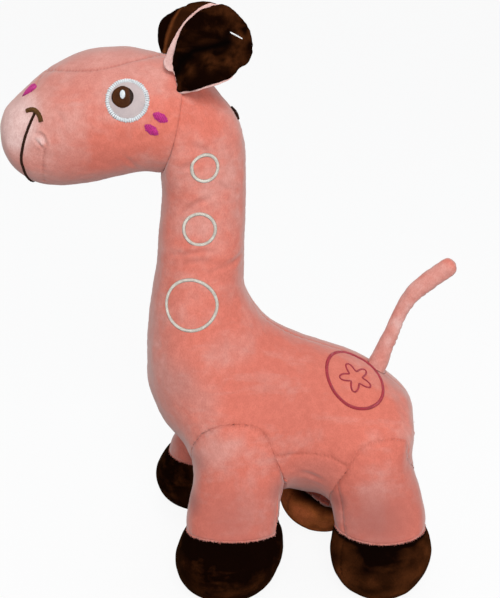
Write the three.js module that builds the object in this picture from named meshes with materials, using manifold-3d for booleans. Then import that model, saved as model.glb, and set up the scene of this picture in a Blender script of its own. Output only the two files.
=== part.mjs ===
// Plush giraffe, standing on four stuffed hooves.
// Millimetres, +Z up. The giraffe looks along -X and its left side is towards -Y.
// The origin is on the floor, under the middle of the whole giraffe.
import * as THREE from 'three';
import { mergeVertices } from 'three/addons/utils/BufferGeometryUtils.js';
import Module from 'manifold-3d';

const wasm = await Module();
wasm.setup();

// Body and neck
const torsoLength = 208; // chest to rump
const torsoHeight = 126; // belly to back
const torsoWidth = 114;
const bellyHeight = 50; // floor to belly
const neckHeight = 214; // back to crown
const neckDepth = 62;
const neckWidth = 62;

// Head
const headLength = 124; // muzzle to neck seam
const headHeight = 92;
const headWidth = 84;
const crownWidth = 51; // the gusset sewn into the top of the head
const crownLength = 82;

// Legs and hooves
const legDepth = 67;
const legWidth = 56;
const hoofLength = 81;
const hoofWidth = 74;
const hoofHeight = 53;
const footFlat = 0.5; // how deep the round sole is pressed flat

// Ears and tail
const earLength = 62;
const earWidth = 52;
const earCup = 12; // how deep the ear is cupped
const earLobe = 3; // how far its corners lie behind the root
const earRoll = 4; // how far the left ear's back rolls past the face along its upper edge
const earEdge = 1; // how far each back stands out past the face elsewhere
const tailLength = 96;
const tailThickness = 15;

// Cloth, thread and clearances
const plush = 3; // pile and backing together
const seamGap = 0.3;
const felt = 0.8;
const satin = 1;
const satinLift = 0.5; // thread bed over the faceted cloth
const noseLift = 0.8; // thread bed over the tighter curve of the muzzle
const threadLine = 2.3;
const thinLine = 1.5;

// Embroidery
const eyeSize = 30.5;
const eyeRingLine = 3.4;
const irisSize = 15.4;
const highlightLength = 6.2;
const highlightWidth = 4.3;
const cheekMarkLength = 11.3;
const cheekMarkWidth = 7.1;
const noseWidth = 34;
const noseLength = 14.5;
const mouthCornerLength = 14;
const topRingSize = 21;
const middleRingSize = 24.5;
const bottomRingSize = 39;
const flankRingLength = 47;
const flankRingHeight = 53;
const petalReach = 13;

// Small hard pieces
const pinLength = 10;
const pinThickness = 1.2;
const loopLength = 11;
const loopRise = 2.8;
const cordThickness = 1.8;

// Facets
const bodySides = 22;
const bodyRings = 20;
const headSides = 20;
const headRings = 12;
const limbSides = 16;
const limbRings = 13;
const earSides = 8;
const earRings = 9;
const tailSides = 8;
const tailRings = 11;
const loopSteps = 24;
const patchSides = 14;
const lineSides = 5;

const reach = 2 * (torsoLength + neckHeight + headLength);
const deg = Math.PI / 180;
const group = new THREE.Group();

const pinkPlush = { color: 0xde7d6e, roughness: 0.95, metalness: 0 };
const brownPlush = { color: 0x2c120a, roughness: 0.95, metalness: 0 };
const fibre = { color: 0xf3f0ea, roughness: 1, metalness: 0 };
const whiteThread = { color: 0xe9ecee, roughness: 0.6, metalness: 0 };
const creamThread = { color: 0xdedccb, roughness: 0.6, metalness: 0 };
const magentaThread = { color: 0xcf3f92, roughness: 0.5, metalness: 0 };
const brownThread = { color: 0x3a1408, roughness: 0.5, metalness: 0 };
const redThread = { color: 0xa51e32, roughness: 0.5, metalness: 0 };
const whiteFelt = { color: 0xcdbfbe, roughness: 0.9, metalness: 0 };
const clearPlastic = { color: 0xf4f4f4, roughness: 0.35, metalness: 0 };

const vector = (x, y, z) => new THREE.Vector3(x, y, z);

// A form is a stack of rings with a point closing each end.
function facesOf(form) {
  const count = form.rings[0].length;
  const last = form.rings.length - 1;
  const tip = 1 + form.rings.length * count;
  const at = (i, k) => 1 + i * count + (k % count);
  const faces = [];
  for (let k = 0; k < count; k += 1) {
    faces.push(0, at(0, k + 1), at(0, k));
    for (let i = 0; i < last; i += 1) {
      faces.push(at(i, k), at(i, k + 1), at(i + 1, k + 1));
      faces.push(at(i, k), at(i + 1, k + 1), at(i + 1, k));
    }
    faces.push(tip, at(last, k), at(last, k + 1));
  }
  return faces;
}

function signedVolume(points, faces) {
  let total = 0;
  for (let i = 0; i < faces.length; i += 3) {
    const [a, b, c] = [points[faces[i]], points[faces[i + 1]], points[faces[i + 2]]];
    total += a.dot(vector(0, 0, 0).crossVectors(b, c));
  }
  return total;
}

function closedGeometry(points, faces) {
  const outward = signedVolume(points, faces) > 0;
  const geometry = new THREE.BufferGeometry();
  geometry.setAttribute('position', new THREE.Float32BufferAttribute(points.flatMap((p) => p.toArray()), 3));
  geometry.setIndex(outward ? faces : [...faces].reverse());
  return geometry;
}

function formGeometry(form) {
  return closedGeometry([form.start, ...form.rings.flat(), form.end], facesOf(form));
}

function middleOf(ring) {
  return ring.reduce((sum, p) => sum.add(p), vector(0, 0, 0)).divideScalar(ring.length);
}

function awayFrom(point, base, distance) {
  return point.clone().addScaledVector(point.clone().sub(base).normalize(), distance);
}

// The same form with its surface moved out by a distance, or in by a negative one.
function grown(form, distance) {
  const { rings } = form;
  const last = rings.length - 1;
  const moved = rings.map((ring, i) => {
    const middle = middleOf(ring);
    const before = i > 0 ? rings[i - 1] : ring.map(() => form.start);
    const after = i < last ? rings[i + 1] : ring.map(() => form.end);
    return ring.map((point, k) => {
      const along = (i === last && form.openEnd ? point : after[k]).clone();
      along.sub(before[k]);
      const around = ring[(k + 1) % ring.length].clone().sub(ring[(k + ring.length - 1) % ring.length]);
      const normal = along.cross(around).normalize();
      const outward = normal.dot(point.clone().sub(middle)) > 0 ? distance : -distance;
      return point.clone().addScaledVector(normal, outward);
    });
  });
  return {
    ...form,
    rings: moved,
    start: awayFrom(form.start, middleOf(rings[0]), distance),
    end: form.openEnd ? form.end : awayFrom(form.end, middleOf(rings[last]), distance),
  };
}

// The same form with its open end carried on, so that it cuts right through there.
function carriedOn(form, distance) {
  const last = form.rings.length - 1;
  const shift = middleOf(form.rings[last]).sub(middleOf(form.rings[last - 1])).setLength(distance);
  const extra = form.rings[last].map((p) => p.clone().add(shift));
  return { ...form, rings: [...form.rings, extra], end: form.end.clone().add(shift) };
}

function toSolid(geometry) {
  const plain = geometry.clone();
  plain.deleteAttribute('normal');
  plain.deleteAttribute('uv');
  const merged = mergeVertices(plain, seamGap / 1000);
  return new wasm.Manifold(new wasm.Mesh({
    numProp: 3,
    vertProperties: new Float32Array(merged.attributes.position.array),
    triVerts: new Uint32Array(merged.index.array),
  }));
}

function toGeometry(solid) {
  const mesh = solid.getMesh();
  const geometry = new THREE.BufferGeometry();
  geometry.setAttribute('position', new THREE.BufferAttribute(mesh.vertProperties, 3));
  geometry.setIndex(new THREE.BufferAttribute(mesh.triVerts, 1));
  return geometry;
}

const solidOf = (form) => toSolid(formGeometry(form));

// Everything on the side of a plane that its normal points to.
function sideOf(point, normal) {
  const box = new THREE.BoxGeometry(reach, reach, reach).translate(0, 0, reach / 2);
  box.applyQuaternion(new THREE.Quaternion().setFromUnitVectors(vector(0, 0, 1), normal.clone().normalize()));
  return toSolid(box.translate(point.x, point.y, point.z));
}

function addPart(name, geometry, finish) {
  const mesh = new THREE.Mesh(geometry, new THREE.MeshStandardMaterial(finish));
  mesh.name = name;
  group.add(mesh);
}

const addSolid = (name, solid, finish) => addPart(name, toGeometry(solid), finish);

// Rows of a table become a smooth run of values; a share goes from 0 at the first row to 1 at the last.
function smoothRows(rows) {
  const columns = rows[0].map((_, c) => (
    new THREE.SplineCurve(rows.map((row) => new THREE.Vector2(row[c], 0)))
  ));
  return (share) => columns.map((curve) => curve.getPoint(share).x);
}

// A form whose rings stand between a back line and a belly line in the middle plane.
// Each row holds back x, back z, belly x, belly z and half the width there.
function chordForm(rows, ringCount, sides, lowerShare, ends) {
  const valuesAt = smoothRows(rows);
  const rings = [];
  for (let i = 1; i <= ringCount; i += 1) {
    const [backX, backZ, bellyX, bellyZ, halfWidth] = valuesAt(ends.ease(i / ringCount));
    const middle = vector((backX + bellyX) / 2, 0, (backZ + bellyZ) / 2);
    const half = vector(backX, 0, backZ).sub(middle);
    rings.push(Array.from({ length: sides }, (_, k) => {
      const turn = (2 * Math.PI * k) / sides;
      const out = halfWidth * Math.sin(turn) * (1 - lowerShare * Math.cos(turn));
      return middle.clone().addScaledVector(half, Math.cos(turn)).setY(out);
    }));
  }
  const [tipX, tipZ] = rows[0];
  return { rings, start: vector(tipX, 0, tipZ), end: middleOf(rings[ringCount - 1]), openEnd: true };
}

// Places on the torso, on the neck and on the head, from the sizes above
const torsoAt = ([x, z]) => [x * torsoLength, bellyHeight + z * torsoHeight];
const neckRoot = torsoAt([-0.195, 1]);
const neckAt = ([x, z]) => [neckRoot[0] + x * neckDepth, neckRoot[1] + z * neckHeight];
const headRoot = neckAt([-0.242, 0.824]);
const headAt = ([x, z]) => [headRoot[0] + x * headLength, headRoot[1] + z * headHeight];
const rowOn = (placeAt, width) => ([back, belly, half]) => [
  ...placeAt(back), ...placeAt(belly), (half * width) / 2,
];

const torsoShares = [
  [[0.62, 0.49], [0.62, 0.49], 0],
  [[0.6, 0.645], [0.594, 0.31], 0.6],
  [[0.545, 0.76], [0.53, 0.15], 0.84],
  [[0.44, 0.895], [0.43, 0.03], 0.97],
  [[0.29, 1], [0.22, 0.08], 1],
  [[0.155, 1.08], [0.02, 0.155], 0.99],
  [[0.06, 1.18], [-0.2, 0.26], 0.965],
];
const neckShares = [
  [[0.62, 0.215], [-0.56, -0.2], 1.6],
  [[0.575, 0.325], [-0.61, -0.01], 1.36],
  [[0.595, 0.45], [-0.555, 0.17], 1.15],
  [[0.605, 0.585], [-0.445, 0.33], 1.02],
  [[0.6, 0.715], [-0.385, 0.455], 0.98],
  [[0.52, 0.815], [-0.37, 0.545], 1.06],
  [[0.28, 0.91], [-0.375, 0.6], 1.16],
];
const headShares = [
  [[-1, -0.075], [-1, -0.075], 0],
  [[-0.955, 0.07], [-0.97, -0.3], 0.4],
  [[-0.86, 0.2], [-0.9, -0.44], 0.66],
  [[-0.71, 0.365], [-0.74, -0.515], 0.84],
  [[-0.5, 0.505], [-0.52, -0.51], 0.95],
  [[-0.3, 0.54], [-0.33, -0.46], 1],
  [[-0.13, 0.51], [-0.2, -0.425], 0.99],
  [[0.08, 0.44], [-0.055, -0.42], 0.93],
];

const headRows = headShares.map(rowOn(headAt, headWidth));
const seamRow = headRows[headRows.length - 1];
const bodyRows = [
  ...torsoShares.map(rowOn(torsoAt, torsoWidth)),
  ...neckShares.map(rowOn(neckAt, neckWidth)),
  seamRow,
];

const blunt = (share) => share ** 1.25; // rings stand closer where the form closes
const body = chordForm(bodyRows, bodyRings, bodySides, 0.1, { ease: blunt });
const head = chordForm(headRows, headRings, headSides, 0.04, { ease: blunt });

// The neck and the head meet at a flat seam
const seamPoint = vector(seamRow[0], 0, seamRow[1]);
const seamLine = vector(seamRow[2], 0, seamRow[3]).sub(seamPoint);
const toMuzzle = vector(seamLine.z, 0, -seamLine.x).normalize();
const seamSide = (way) => sideOf(
  seamPoint.clone().addScaledVector(toMuzzle, (way * seamGap) / 2), toMuzzle.clone().multiplyScalar(way),
);
const headSide = seamSide(1);
const neckSide = seamSide(-1);

function skinOf(form) {
  return solidOf(form).subtract(solidOf(carriedOn(grown(form, -plush), plush)));
}

const bodyClear = solidOf(grown(body, seamGap));
const bodySkin = skinOf(body).intersect(neckSide);
const headSkin = skinOf(head).intersect(headSide);
const leftHalf = sideOf(vector(0, -seamGap / 2, 0), vector(0, -1, 0));
const rightHalf = sideOf(vector(0, seamGap / 2, 0), vector(0, 1, 0));

// A block standing under or over an outline, to cut a gusset out of a skin
function gussetBlock(outline, depth, grow, turn) {
  const middle = outline.reduce((sum, p) => sum.add(p), new THREE.Vector2()).divideScalar(outline.length);
  const shape = new THREE.Shape(outline.map((p) => {
    const arm = p.clone().sub(middle);
    return p.clone().add(arm.setLength(grow));
  }));
  const block = new THREE.ExtrudeGeometry(shape, { depth, bevelEnabled: false });
  return toSolid(turn(block));
}

// The belly gusset runs between the legs and comes up the flanks to its seam
const bellySeamShares = [
  [-0.26, 0.2], [-0.2, 0.4], [0.1, 0.47], [0.29, 0.46], [0.36, 0.4], [0.5, 0.32], [0.555, 0.16],
];
const bellyOutline = bellySeamShares.map((share) => new THREE.Vector2(...torsoAt(share)));
bellyOutline.push(new THREE.Vector2(bellyOutline[bellyOutline.length - 1].x, 0));
bellyOutline.push(new THREE.Vector2(bellyOutline[0].x, 0));
const acrossBody = (block) => block.rotateX(90 * deg).translate(0, reach / 2, 0);
const bellyBlock = (grow) => gussetBlock(bellyOutline, reach, grow, acrossBody);

// The crown gusset is a lens in plan, pointed at both ends
const crownMiddle = headAt([-0.385, 0]);
const crownOutline = Array.from({ length: 2 * loopSteps }, (_, k) => {
  const turn = (Math.PI * k) / loopSteps;
  const narrow = Math.abs(Math.sin(turn)) ** 1.4 * Math.sign(Math.sin(turn));
  return new THREE.Vector2(
    crownMiddle[0] + (crownLength / 2) * Math.cos(turn),
    (crownWidth / 2) * narrow,
  );
});
const overHead = (block) => block.translate(0, 0, crownMiddle[1]);
const crownBlock = (grow) => gussetBlock(crownOutline, reach, grow, overHead);

for (const [side, half] of [['left', leftHalf], ['right', rightHalf]]) {
  addSolid(`${side}_body_panel`, bodySkin.intersect(half).subtract(bellyBlock(0)), pinkPlush);
  addSolid(`${side}_head_panel`, headSkin.intersect(half).subtract(crownBlock(0)), pinkPlush);
}
addSolid('belly_gusset', bodySkin.intersect(bellyBlock(-seamGap)), pinkPlush);
addSolid('head_top_gusset', headSkin.intersect(crownBlock(-seamGap)), pinkPlush);

// Fibre filling, packed in as three masses that meet at the neck root and at the head seam
const everyOther = (form) => ({
  ...form, rings: form.rings.map((ring) => ring.filter((_, k) => k % 2 === 0)),
});
const packed = (form) => solidOf(everyOther(grown(form, -plush - seamGap)));
const bodyFibre = packed(body).intersect(neckSide);
const neckRow = bodyRows[torsoShares.length - 1];
const rootPoint = vector(neckRow[0], 0, neckRow[1]);
const rootLine = vector(neckRow[2], 0, neckRow[3]).sub(rootPoint);
const upNeck = vector(rootLine.z, 0, -rootLine.x).normalize();
const aboveRoot = sideOf(rootPoint.clone().addScaledVector(upNeck, seamGap), upNeck);
const belowRoot = sideOf(rootPoint, upNeck.clone().negate());
addSolid('torso_filling', bodyFibre.intersect(belowRoot), fibre);
addSolid('neck_filling', bodyFibre.intersect(aboveRoot), fibre);
addSolid('head_filling', packed(head).intersect(headSide), fibre);

// Each leg leans from its hip in the torso to its foot
const hoofShares = [
  [0, 0.4], [0.05, 0.56], [0.17, 0.76], [0.36, 0.92], [0.6, 1], [0.84, 0.95], [1, 0.87],
];
const legShares = [
  [0.1, 1.05], [0.3, 1.03], [0.54, 1.03], [0.74, 1.02], [0.88, 0.92], [0.97, 0.6],
];
// Shares of the torso's length, height and half width for the hip, of the hoof's length for the
// step and for how far the sole lies ahead, and of half the torso's width for where the foot stands
const hipShares = {
  front: { along: -0.04, height: 0.75, out: 0.68, size: 1, toe: 0.06 },
  hind: { along: 0.43, height: 0.62, out: 0.64, size: 0.94, toe: 0.02 },
};
const footShares = [
  { name: 'left_front', side: -1, step: -0.07, spread: 1.09 },
  { name: 'right_front', side: 1, step: -0.37, spread: 1.34 },
  { name: 'left_hind', side: -1, step: 0.12, spread: 1.04 },
  { name: 'right_hind', side: 1, step: -0.33, spread: 0.72 },
];

function limbForm({ name, side, step, spread }) {
  const { along, height: rise, out, size: build, toe } = hipShares[name.split('_')[1]];
  const hipTop = bellyHeight + rise * torsoHeight;
  const hip = vector(along * torsoLength, (side * out * torsoWidth) / 2, hipTop);
  const foot = vector(hip.x + step * hoofLength, (side * spread * torsoWidth) / 2, 0);
  const hoofRows = hoofShares.map(([height, size]) => [
    height * (hoofHeight + footFlat) - footFlat,
    (build * size * hoofLength) / 2,
    (build * size * hoofWidth) / 2,
  ]);
  const legRows = legShares.map(([height, size]) => [
    hoofHeight + height * (hipTop - hoofHeight), (build * size * legDepth) / 2, (build * size * legWidth) / 2,
  ]);
  const valuesAt = smoothRows([...hoofRows, ...legRows]);
  const rings = Array.from({ length: limbRings }, (_, i) => {
    const [height, halfLength, halfWidth] = valuesAt(i / (limbRings - 1));
    const lean = THREE.MathUtils.smoothstep(height, hoofHeight / 2, hipTop);
    const middle = foot.clone().lerp(hip, lean);
    middle.x -= toe * hoofLength * (1 - THREE.MathUtils.smoothstep(height, -footFlat, hoofHeight));
    return Array.from({ length: limbSides }, (_, k) => {
      const turn = (2 * Math.PI * k) / limbSides;
      return vector(middle.x + halfLength * Math.cos(turn), middle.y + halfWidth * Math.sin(turn), height);
    });
  });
  return { rings, start: middleOf(rings[0]).setZ(-2 * footFlat), end: hip };
}

const aboveFloor = sideOf(vector(0, 0, 0), vector(0, 0, 1));
const aboveHoof = sideOf(vector(0, 0, hoofHeight + seamGap / 2), vector(0, 0, 1));
const belowHoof = sideOf(vector(0, 0, hoofHeight - seamGap / 2), vector(0, 0, -1));
const aboveSole = sideOf(vector(0, 0, plush + seamGap), vector(0, 0, 1));
for (const limb of footShares) {
  const form = limbForm(limb);
  const skin = solidOf(form).subtract(solidOf(grown(form, -plush))).subtract(bodyClear);
  addSolid(`${limb.name}_leg_cover`, skin.intersect(aboveHoof), pinkPlush);
  addSolid(`${limb.name}_hoof`, skin.intersect(belowHoof).intersect(aboveFloor), brownPlush);
  addSolid(`${limb.name}_leg_filling`, packed(form).subtract(bodyClear).intersect(aboveSole), fibre);
}

// Embroidery and patches follow the cloth: each point is found by looking at the form from outside
const lookers = new Map();
function surfaceAt(form, from, direction) {
  if (!lookers.has(form)) {
    lookers.set(form, new THREE.Mesh(formGeometry(form), new THREE.MeshStandardMaterial()));
  }
  const ray = new THREE.Raycaster(from, direction.clone().normalize());
  const [hit] = ray.intersectObject(lookers.get(form));
  return { point: hit.point, normal: hit.face.normal.clone() };
}

// A seat is a place on a form with its normal and two directions along the cloth
function seatAt(form, from, direction, upHint) {
  const { point, normal } = surfaceAt(form, from, direction);
  const across = vector(0, 0, 0).crossVectors(upHint, normal).normalize();
  const up = vector(0, 0, 0).crossVectors(normal, across);
  return { form, point, normal, across, up };
}

function onSeat(seat, a, b) {
  const from = seat.point.clone().addScaledVector(seat.across, a).addScaledVector(seat.up, b);
  from.addScaledVector(seat.normal, plush + eyeSize);
  return surfaceAt(seat.form, from, seat.normal.clone().negate());
}

// A raised line of satin stitch through points on a form
function satinGeometry(places, width, height, closed) {
  const count = places.length;
  const rings = places.map((place, i) => {
    const { point } = place;
    const next = places[closed ? (i + 1) % count : Math.min(i + 1, count - 1)];
    const last = places[closed ? (i + count - 1) % count : Math.max(i - 1, 0)];
    const normal = place.normal.clone().add(next.normal).add(last.normal).normalize();
    const side = next.point.clone().sub(last.point).cross(normal).normalize();
    return Array.from({ length: lineSides }, (_, k) => {
      const turn = (Math.PI * k) / (lineSides - 1);
      return point.clone()
        .addScaledVector(normal, satinLift + height * Math.sin(turn))
        .addScaledVector(side, (width / 2) * Math.cos(turn));
    });
  });
  if (!closed) {
    return formGeometry({ rings, start: middleOf(rings[0]), end: middleOf(rings[count - 1]) });
  }
  const faces = [];
  const at = (i, k) => (i % count) * lineSides + (k % lineSides);
  for (let i = 0; i < count; i += 1) {
    for (let k = 0; k < lineSides; k += 1) {
      faces.push(at(i, k), at(i, k + 1), at(i + 1, k + 1));
      faces.push(at(i, k), at(i + 1, k + 1), at(i + 1, k));
    }
  }
  return closedGeometry(rings.flat(), faces);
}

const ringPlaces = (seat, halfAcross, halfUp, steps) => Array.from({ length: steps }, (_, k) => {
  const turn = (2 * Math.PI * k) / steps;
  return onSeat(seat, halfAcross * Math.cos(turn), halfUp * Math.sin(turn));
});

// A flat patch with a crowned top, lying at a height over the form
function patchGeometry(seat, outlineAt, bed, thickness) {
  const rows = [0.55, 1];
  const layers = [bed, bed + thickness];
  const points = [];
  for (const [layer, height] of layers.entries()) {
    const middle = onSeat(seat, ...outlineAt(0, 0));
    points.push(middle.point.clone().addScaledVector(middle.normal, height));
    for (const row of rows) {
      for (let k = 0; k < patchSides; k += 1) {
        const place = onSeat(seat, ...outlineAt(row, (2 * Math.PI * k) / patchSides));
        const edge = layer === 1 && row === 1 ? bed + thickness / 2 : height;
        points.push(place.point.clone().addScaledVector(place.normal, edge));
      }
    }
  }
  const size = 1 + rows.length * patchSides;
  const at = (layer, row, k) => layer * size + 1 + row * patchSides + (k % patchSides);
  const faces = [];
  for (let k = 0; k < patchSides; k += 1) {
    for (const layer of [0, 1]) {
      const sheet = [
        [layer * size, at(layer, 0, k), at(layer, 0, k + 1)],
        [at(layer, 0, k), at(layer, 1, k), at(layer, 1, k + 1)],
        [at(layer, 0, k), at(layer, 1, k + 1), at(layer, 0, k + 1)],
      ];
      sheet.forEach((face) => faces.push(...(layer === 1 ? face : face.reverse())));
    }
    faces.push(at(0, 1, k), at(0, 1, k + 1), at(1, 1, k + 1));
    faces.push(at(0, 1, k), at(1, 1, k + 1), at(1, 1, k));
  }
  return closedGeometry(points, faces);
}

const ovalOutline = (halfAcross, halfUp, tilt, shiftAcross = 0, shiftUp = 0) => (row, turn) => {
  const a = row * halfAcross * Math.cos(turn);
  const b = row * halfUp * Math.sin(turn);
  return [
    shiftAcross + a * Math.cos(tilt) - b * Math.sin(tilt),
    shiftUp + a * Math.sin(tilt) + b * Math.cos(tilt),
  ];
};

const up = vector(0, 0, 1);
const eyeAt = headAt([-0.225, 0.212]);
const cheekAt = [headAt([-0.045, 0.085]), headAt([-0.095, -0.005])];
const cornerAt = headAt([-0.758, 0.09]);
const neckRingAt = [neckAt([0.15, 0.685]), neckAt([0.075, 0.475]), neckAt([-0.04, 0.22])];
const neckRingSizes = { top: topRingSize, middle: middleRingSize, bottom: bottomRingSize };
const satinTop = satinLift + satin;

for (const [name, side] of [['left', -1], ['right', 1]]) {
  const outside = (at, rise = 0) => vector(at[0], side * reach, at[1] + rise);
  const inward = vector(0, -side, 0);

  const eye = seatAt(head, outside(eyeAt), inward, up);
  const irisShift = side * 0.1 * eyeSize;
  const ringHalf = (eyeSize - eyeRingLine) / 2;
  const feltHalf = ringHalf - eyeRingLine / 2 - seamGap;
  addPart(`${name}_eye_ring`,
    satinGeometry(ringPlaces(eye, ringHalf, ringHalf, loopSteps), eyeRingLine, satin, true), whiteThread);
  addPart(`${name}_eye_felt`,
    patchGeometry(eye, ovalOutline(feltHalf, feltHalf, 0), satinLift, felt), whiteFelt);
  const irisBed = satinLift + felt + seamGap;
  const irisOutline = ovalOutline(irisSize / 2, irisSize / 2, 0, irisShift, 0.07 * eyeSize);
  addPart(`${name}_iris`, patchGeometry(eye, irisOutline, irisBed, satin), brownThread);
  const glintOutline = ovalOutline(
    highlightWidth / 2, highlightLength / 2, 0, irisShift, 0.12 * eyeSize,
  );
  addPart(`${name}_eye_highlight`,
    patchGeometry(eye, glintOutline, irisBed + satin + seamGap, satin), whiteThread);

  for (const [row, at] of cheekAt.entries()) {
    const cheek = seatAt(head, outside(at), inward, up);
    const outline = ovalOutline(cheekMarkLength / 2, cheekMarkWidth / 2, side * 22 * deg);
    const place = ['rear', 'front'][row];
    addPart(`${name}_cheek_mark_${place}`, patchGeometry(cheek, outline, satinLift, satin), magentaThread);
  }

  for (const [row, [place, size]] of Object.entries(neckRingSizes).entries()) {
    const seat = seatAt(body, outside(neckRingAt[row]), inward, up);
    const half = (size - threadLine) / 2;
    addPart(`${name}_neck_ring_${place}`,
      satinGeometry(ringPlaces(seat, half, half, loopSteps), threadLine, satin, true), creamThread);
  }

  // The corner of the mouth is a short arched stitch over the end of the smile
  const corner = seatAt(head, outside(cornerAt), inward, up);
  const cornerTurn = [135 * deg, -40 * deg];
  const cornerRadius = mouthCornerLength / (cornerTurn[0] - cornerTurn[1]);
  const cornerPlaces = Array.from({ length: 2 * lineSides }, (_, k) => {
    const turn = THREE.MathUtils.lerp(...cornerTurn, k / (2 * lineSides - 1));
    return onSeat(corner, -side * cornerRadius * Math.cos(turn), cornerRadius * Math.sin(turn));
  });
  addPart(`${name}_mouth_corner`, satinGeometry(cornerPlaces, 1.5 * threadLine, satin, false), brownThread);
}

// The smile runs from one cheek under the chin to the other
const smileShares = [[64, -0.768], [77, -0.797], [97, -0.831], [116, -0.842], [140, -0.834], [180, -0.815]];
const smileAt = smoothRows([...smileShares, ...[...smileShares].reverse().slice(1)
  .map(([turn, x]) => [360 - turn, x])]);
const smileSteps = 2.5 * loopSteps;
const smilePlaces = Array.from({ length: smileSteps + 1 }, (_, k) => {
  const [turn, x] = smileAt(k / smileSteps);
  const [axisX, axisZ] = headAt([x, -0.1]);
  const out = vector(0, -Math.sin(turn * deg), Math.cos(turn * deg));
  return surfaceAt(head, vector(axisX, 0, axisZ).addScaledVector(out, headHeight), out.negate());
});
addPart('mouth_line', satinGeometry(smilePlaces, threadLine, satin, false), brownThread);

// The nose is a wide rounded triangle over the top of the muzzle, narrower to the front
const noseDirection = vector(Math.sin(40 * deg), 0, -Math.cos(40 * deg));
const noseTop = headAt([-0.665, 0]);
const noseFrom = vector(noseTop[0], 0, noseTop[1]).addScaledVector(noseDirection, -headHeight);
const nose = seatAt(head, noseFrom, noseDirection, vector(1, 0, 0));
const noseOutline = (row, turn) => {
  const size = row * (1 + 0.08 * Math.sin(3 * turn));
  return [size * (noseWidth / 2) * Math.cos(turn), size * (noseLength / 2) * Math.sin(turn)];
};
addPart('nose', patchGeometry(nose, noseOutline, noseLift, satin), magentaThread);

// The flank has a plain oval of satin stitch around a small flower
const flankAt = torsoAt([0.38, 0]);
const flankOut = vector(0, -Math.sin(28 * deg), Math.cos(28 * deg));
const flankFrom = vector(flankAt[0], 0, bellyHeight + torsoHeight / 2).addScaledVector(flankOut, torsoWidth);
const flank = seatAt(body, flankFrom, flankOut.clone().negate(), up);
const flankPlaces = ringPlaces(
  flank, (flankRingLength - threadLine) / 2, (flankRingHeight - threadLine) / 2, loopSteps + 10,
);
addPart('flank_ring', satinGeometry(flankPlaces, threadLine, satin, true), redThread);
const petals = 5;
const flowerPlaces = Array.from({ length: petals * 8 }, (_, k) => {
  const turn = (2 * Math.PI * k) / (petals * 8);
  const radius = petalReach * (0.72 + 0.28 * Math.cos(petals * turn));
  return onSeat(flank, radius * Math.sin(turn), radius * Math.cos(turn));
});
addPart('flank_flower', satinGeometry(flowerPlaces, thinLine, satin / 2, true), redThread);

// An ear is two layers of plush, pinched at a round root and cupped along its length
const earWidthShares = [[0.36], [0.46], [0.66], [0.84], [0.95], [1], [0.99], [0.91], [0.52]];
const earWidthAt = smoothRows(earWidthShares);
const rootRadius = plush + seamGap;

function earFrame(side, share, lean, rootShare, lengthShares, faceShares) {
  const along = vector(...lengthShares).normalize();
  const axis = vector(0, 0, 0).crossVectors(along, vector(...faceShares)).normalize();
  const face = vector(0, 0, 0).crossVectors(axis, along);
  const [x, z] = headAt([share, 0]);
  const out = vector(0, side * Math.sin(lean), Math.cos(lean));
  const seat = surfaceAt(head, vector(x, 0, z).addScaledVector(out, headHeight), out.clone().negate());
  const origin = seat.point.addScaledVector(seat.normal, rootShare * rootRadius);
  return { along, axis, face, origin };
}

function earPoint(frame, row, across, depth) {
  const [width] = earWidthAt(row);
  const half = (width * earWidth) / 2;
  const cup = earCup * THREE.MathUtils.smoothstep(row, 0, 0.25) * (1 - 0.7 * row);
  const lobe = earLobe * THREE.MathUtils.smoothstep(row, 0, 0.2) * (1 - row) ** 2;
  return frame.origin.clone()
    .addScaledVector(frame.along, row * earLength - lobe * across * across)
    .addScaledVector(frame.axis, half * across)
    .addScaledVector(frame.face, cup * across * across + depth);
}

// One layer lies between the middle of the ear and the face that shows
function earLayer(frame, facing, edges) {
  const row = (i) => i / (earRings - 1);
  const limits = edges.map((edge) => 1 + edge / (earWidth / 2));
  const acrossAt = (step) => {
    const limit = step % earSides ? 1 : limits[step / earSides];
    return limit * Math.cos((Math.PI * step) / earSides);
  };
  const swell = (share, across) => {
    const rim = Math.sqrt(1 - Math.min(1, Math.abs(across) / limits[across > 0 ? 0 : 1]) ** 2);
    const root = Math.sqrt(1 - (1 - Math.min(1, (share * earLength) / rootRadius + 0.08)) ** 2);
    const tip = Math.sqrt(1 - (0.94 * share) ** 6);
    return plush * rim * root * tip;
  };
  const rings = Array.from({ length: earRings }, (_, i) => Array.from({ length: 2 * earSides }, (_, k) => {
    const inner = k >= earSides;
    const across = acrossAt(inner ? 2 * earSides - k : k);
    const clear = Math.abs(across) > 1 ? 1.5 * seamGap : seamGap / 2;
    const depth = clear + (inner ? 0 : swell(row(i), across));
    return earPoint(frame, row(i), across, facing * depth);
  }));
  const start = earPoint(frame, 0, 0, (facing * plush) / 4);
  const end = earPoint(frame, 1, 0, (facing * plush) / 4);
  return formGeometry({
    rings,
    start: start.addScaledVector(frame.along, -rootRadius / 2),
    end: end.addScaledVector(frame.along, plush / 3),
  });
}

const ears = {
  left: earFrame(-1, 0.015, 41 * deg, 0.88, [0.79, -0.14, 0.58], [-0.3, -0.95, 0.08]),
  right: earFrame(1, -0.04, 14 * deg, 0.62, [0.55, 0.7, 0.36], [-0.22, -0.6, 0.8]),
};
const earBackEdges = { left: [earEdge, earRoll], right: [earEdge, earEdge] };
for (const [name, frame] of Object.entries(ears)) {
  addPart(`${name}_ear_front`, earLayer(frame, 1, [0, 0]), brownPlush);
  addPart(`${name}_ear_back`, earLayer(frame, -1, earBackEdges[name]), pinkPlush);
}

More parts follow.
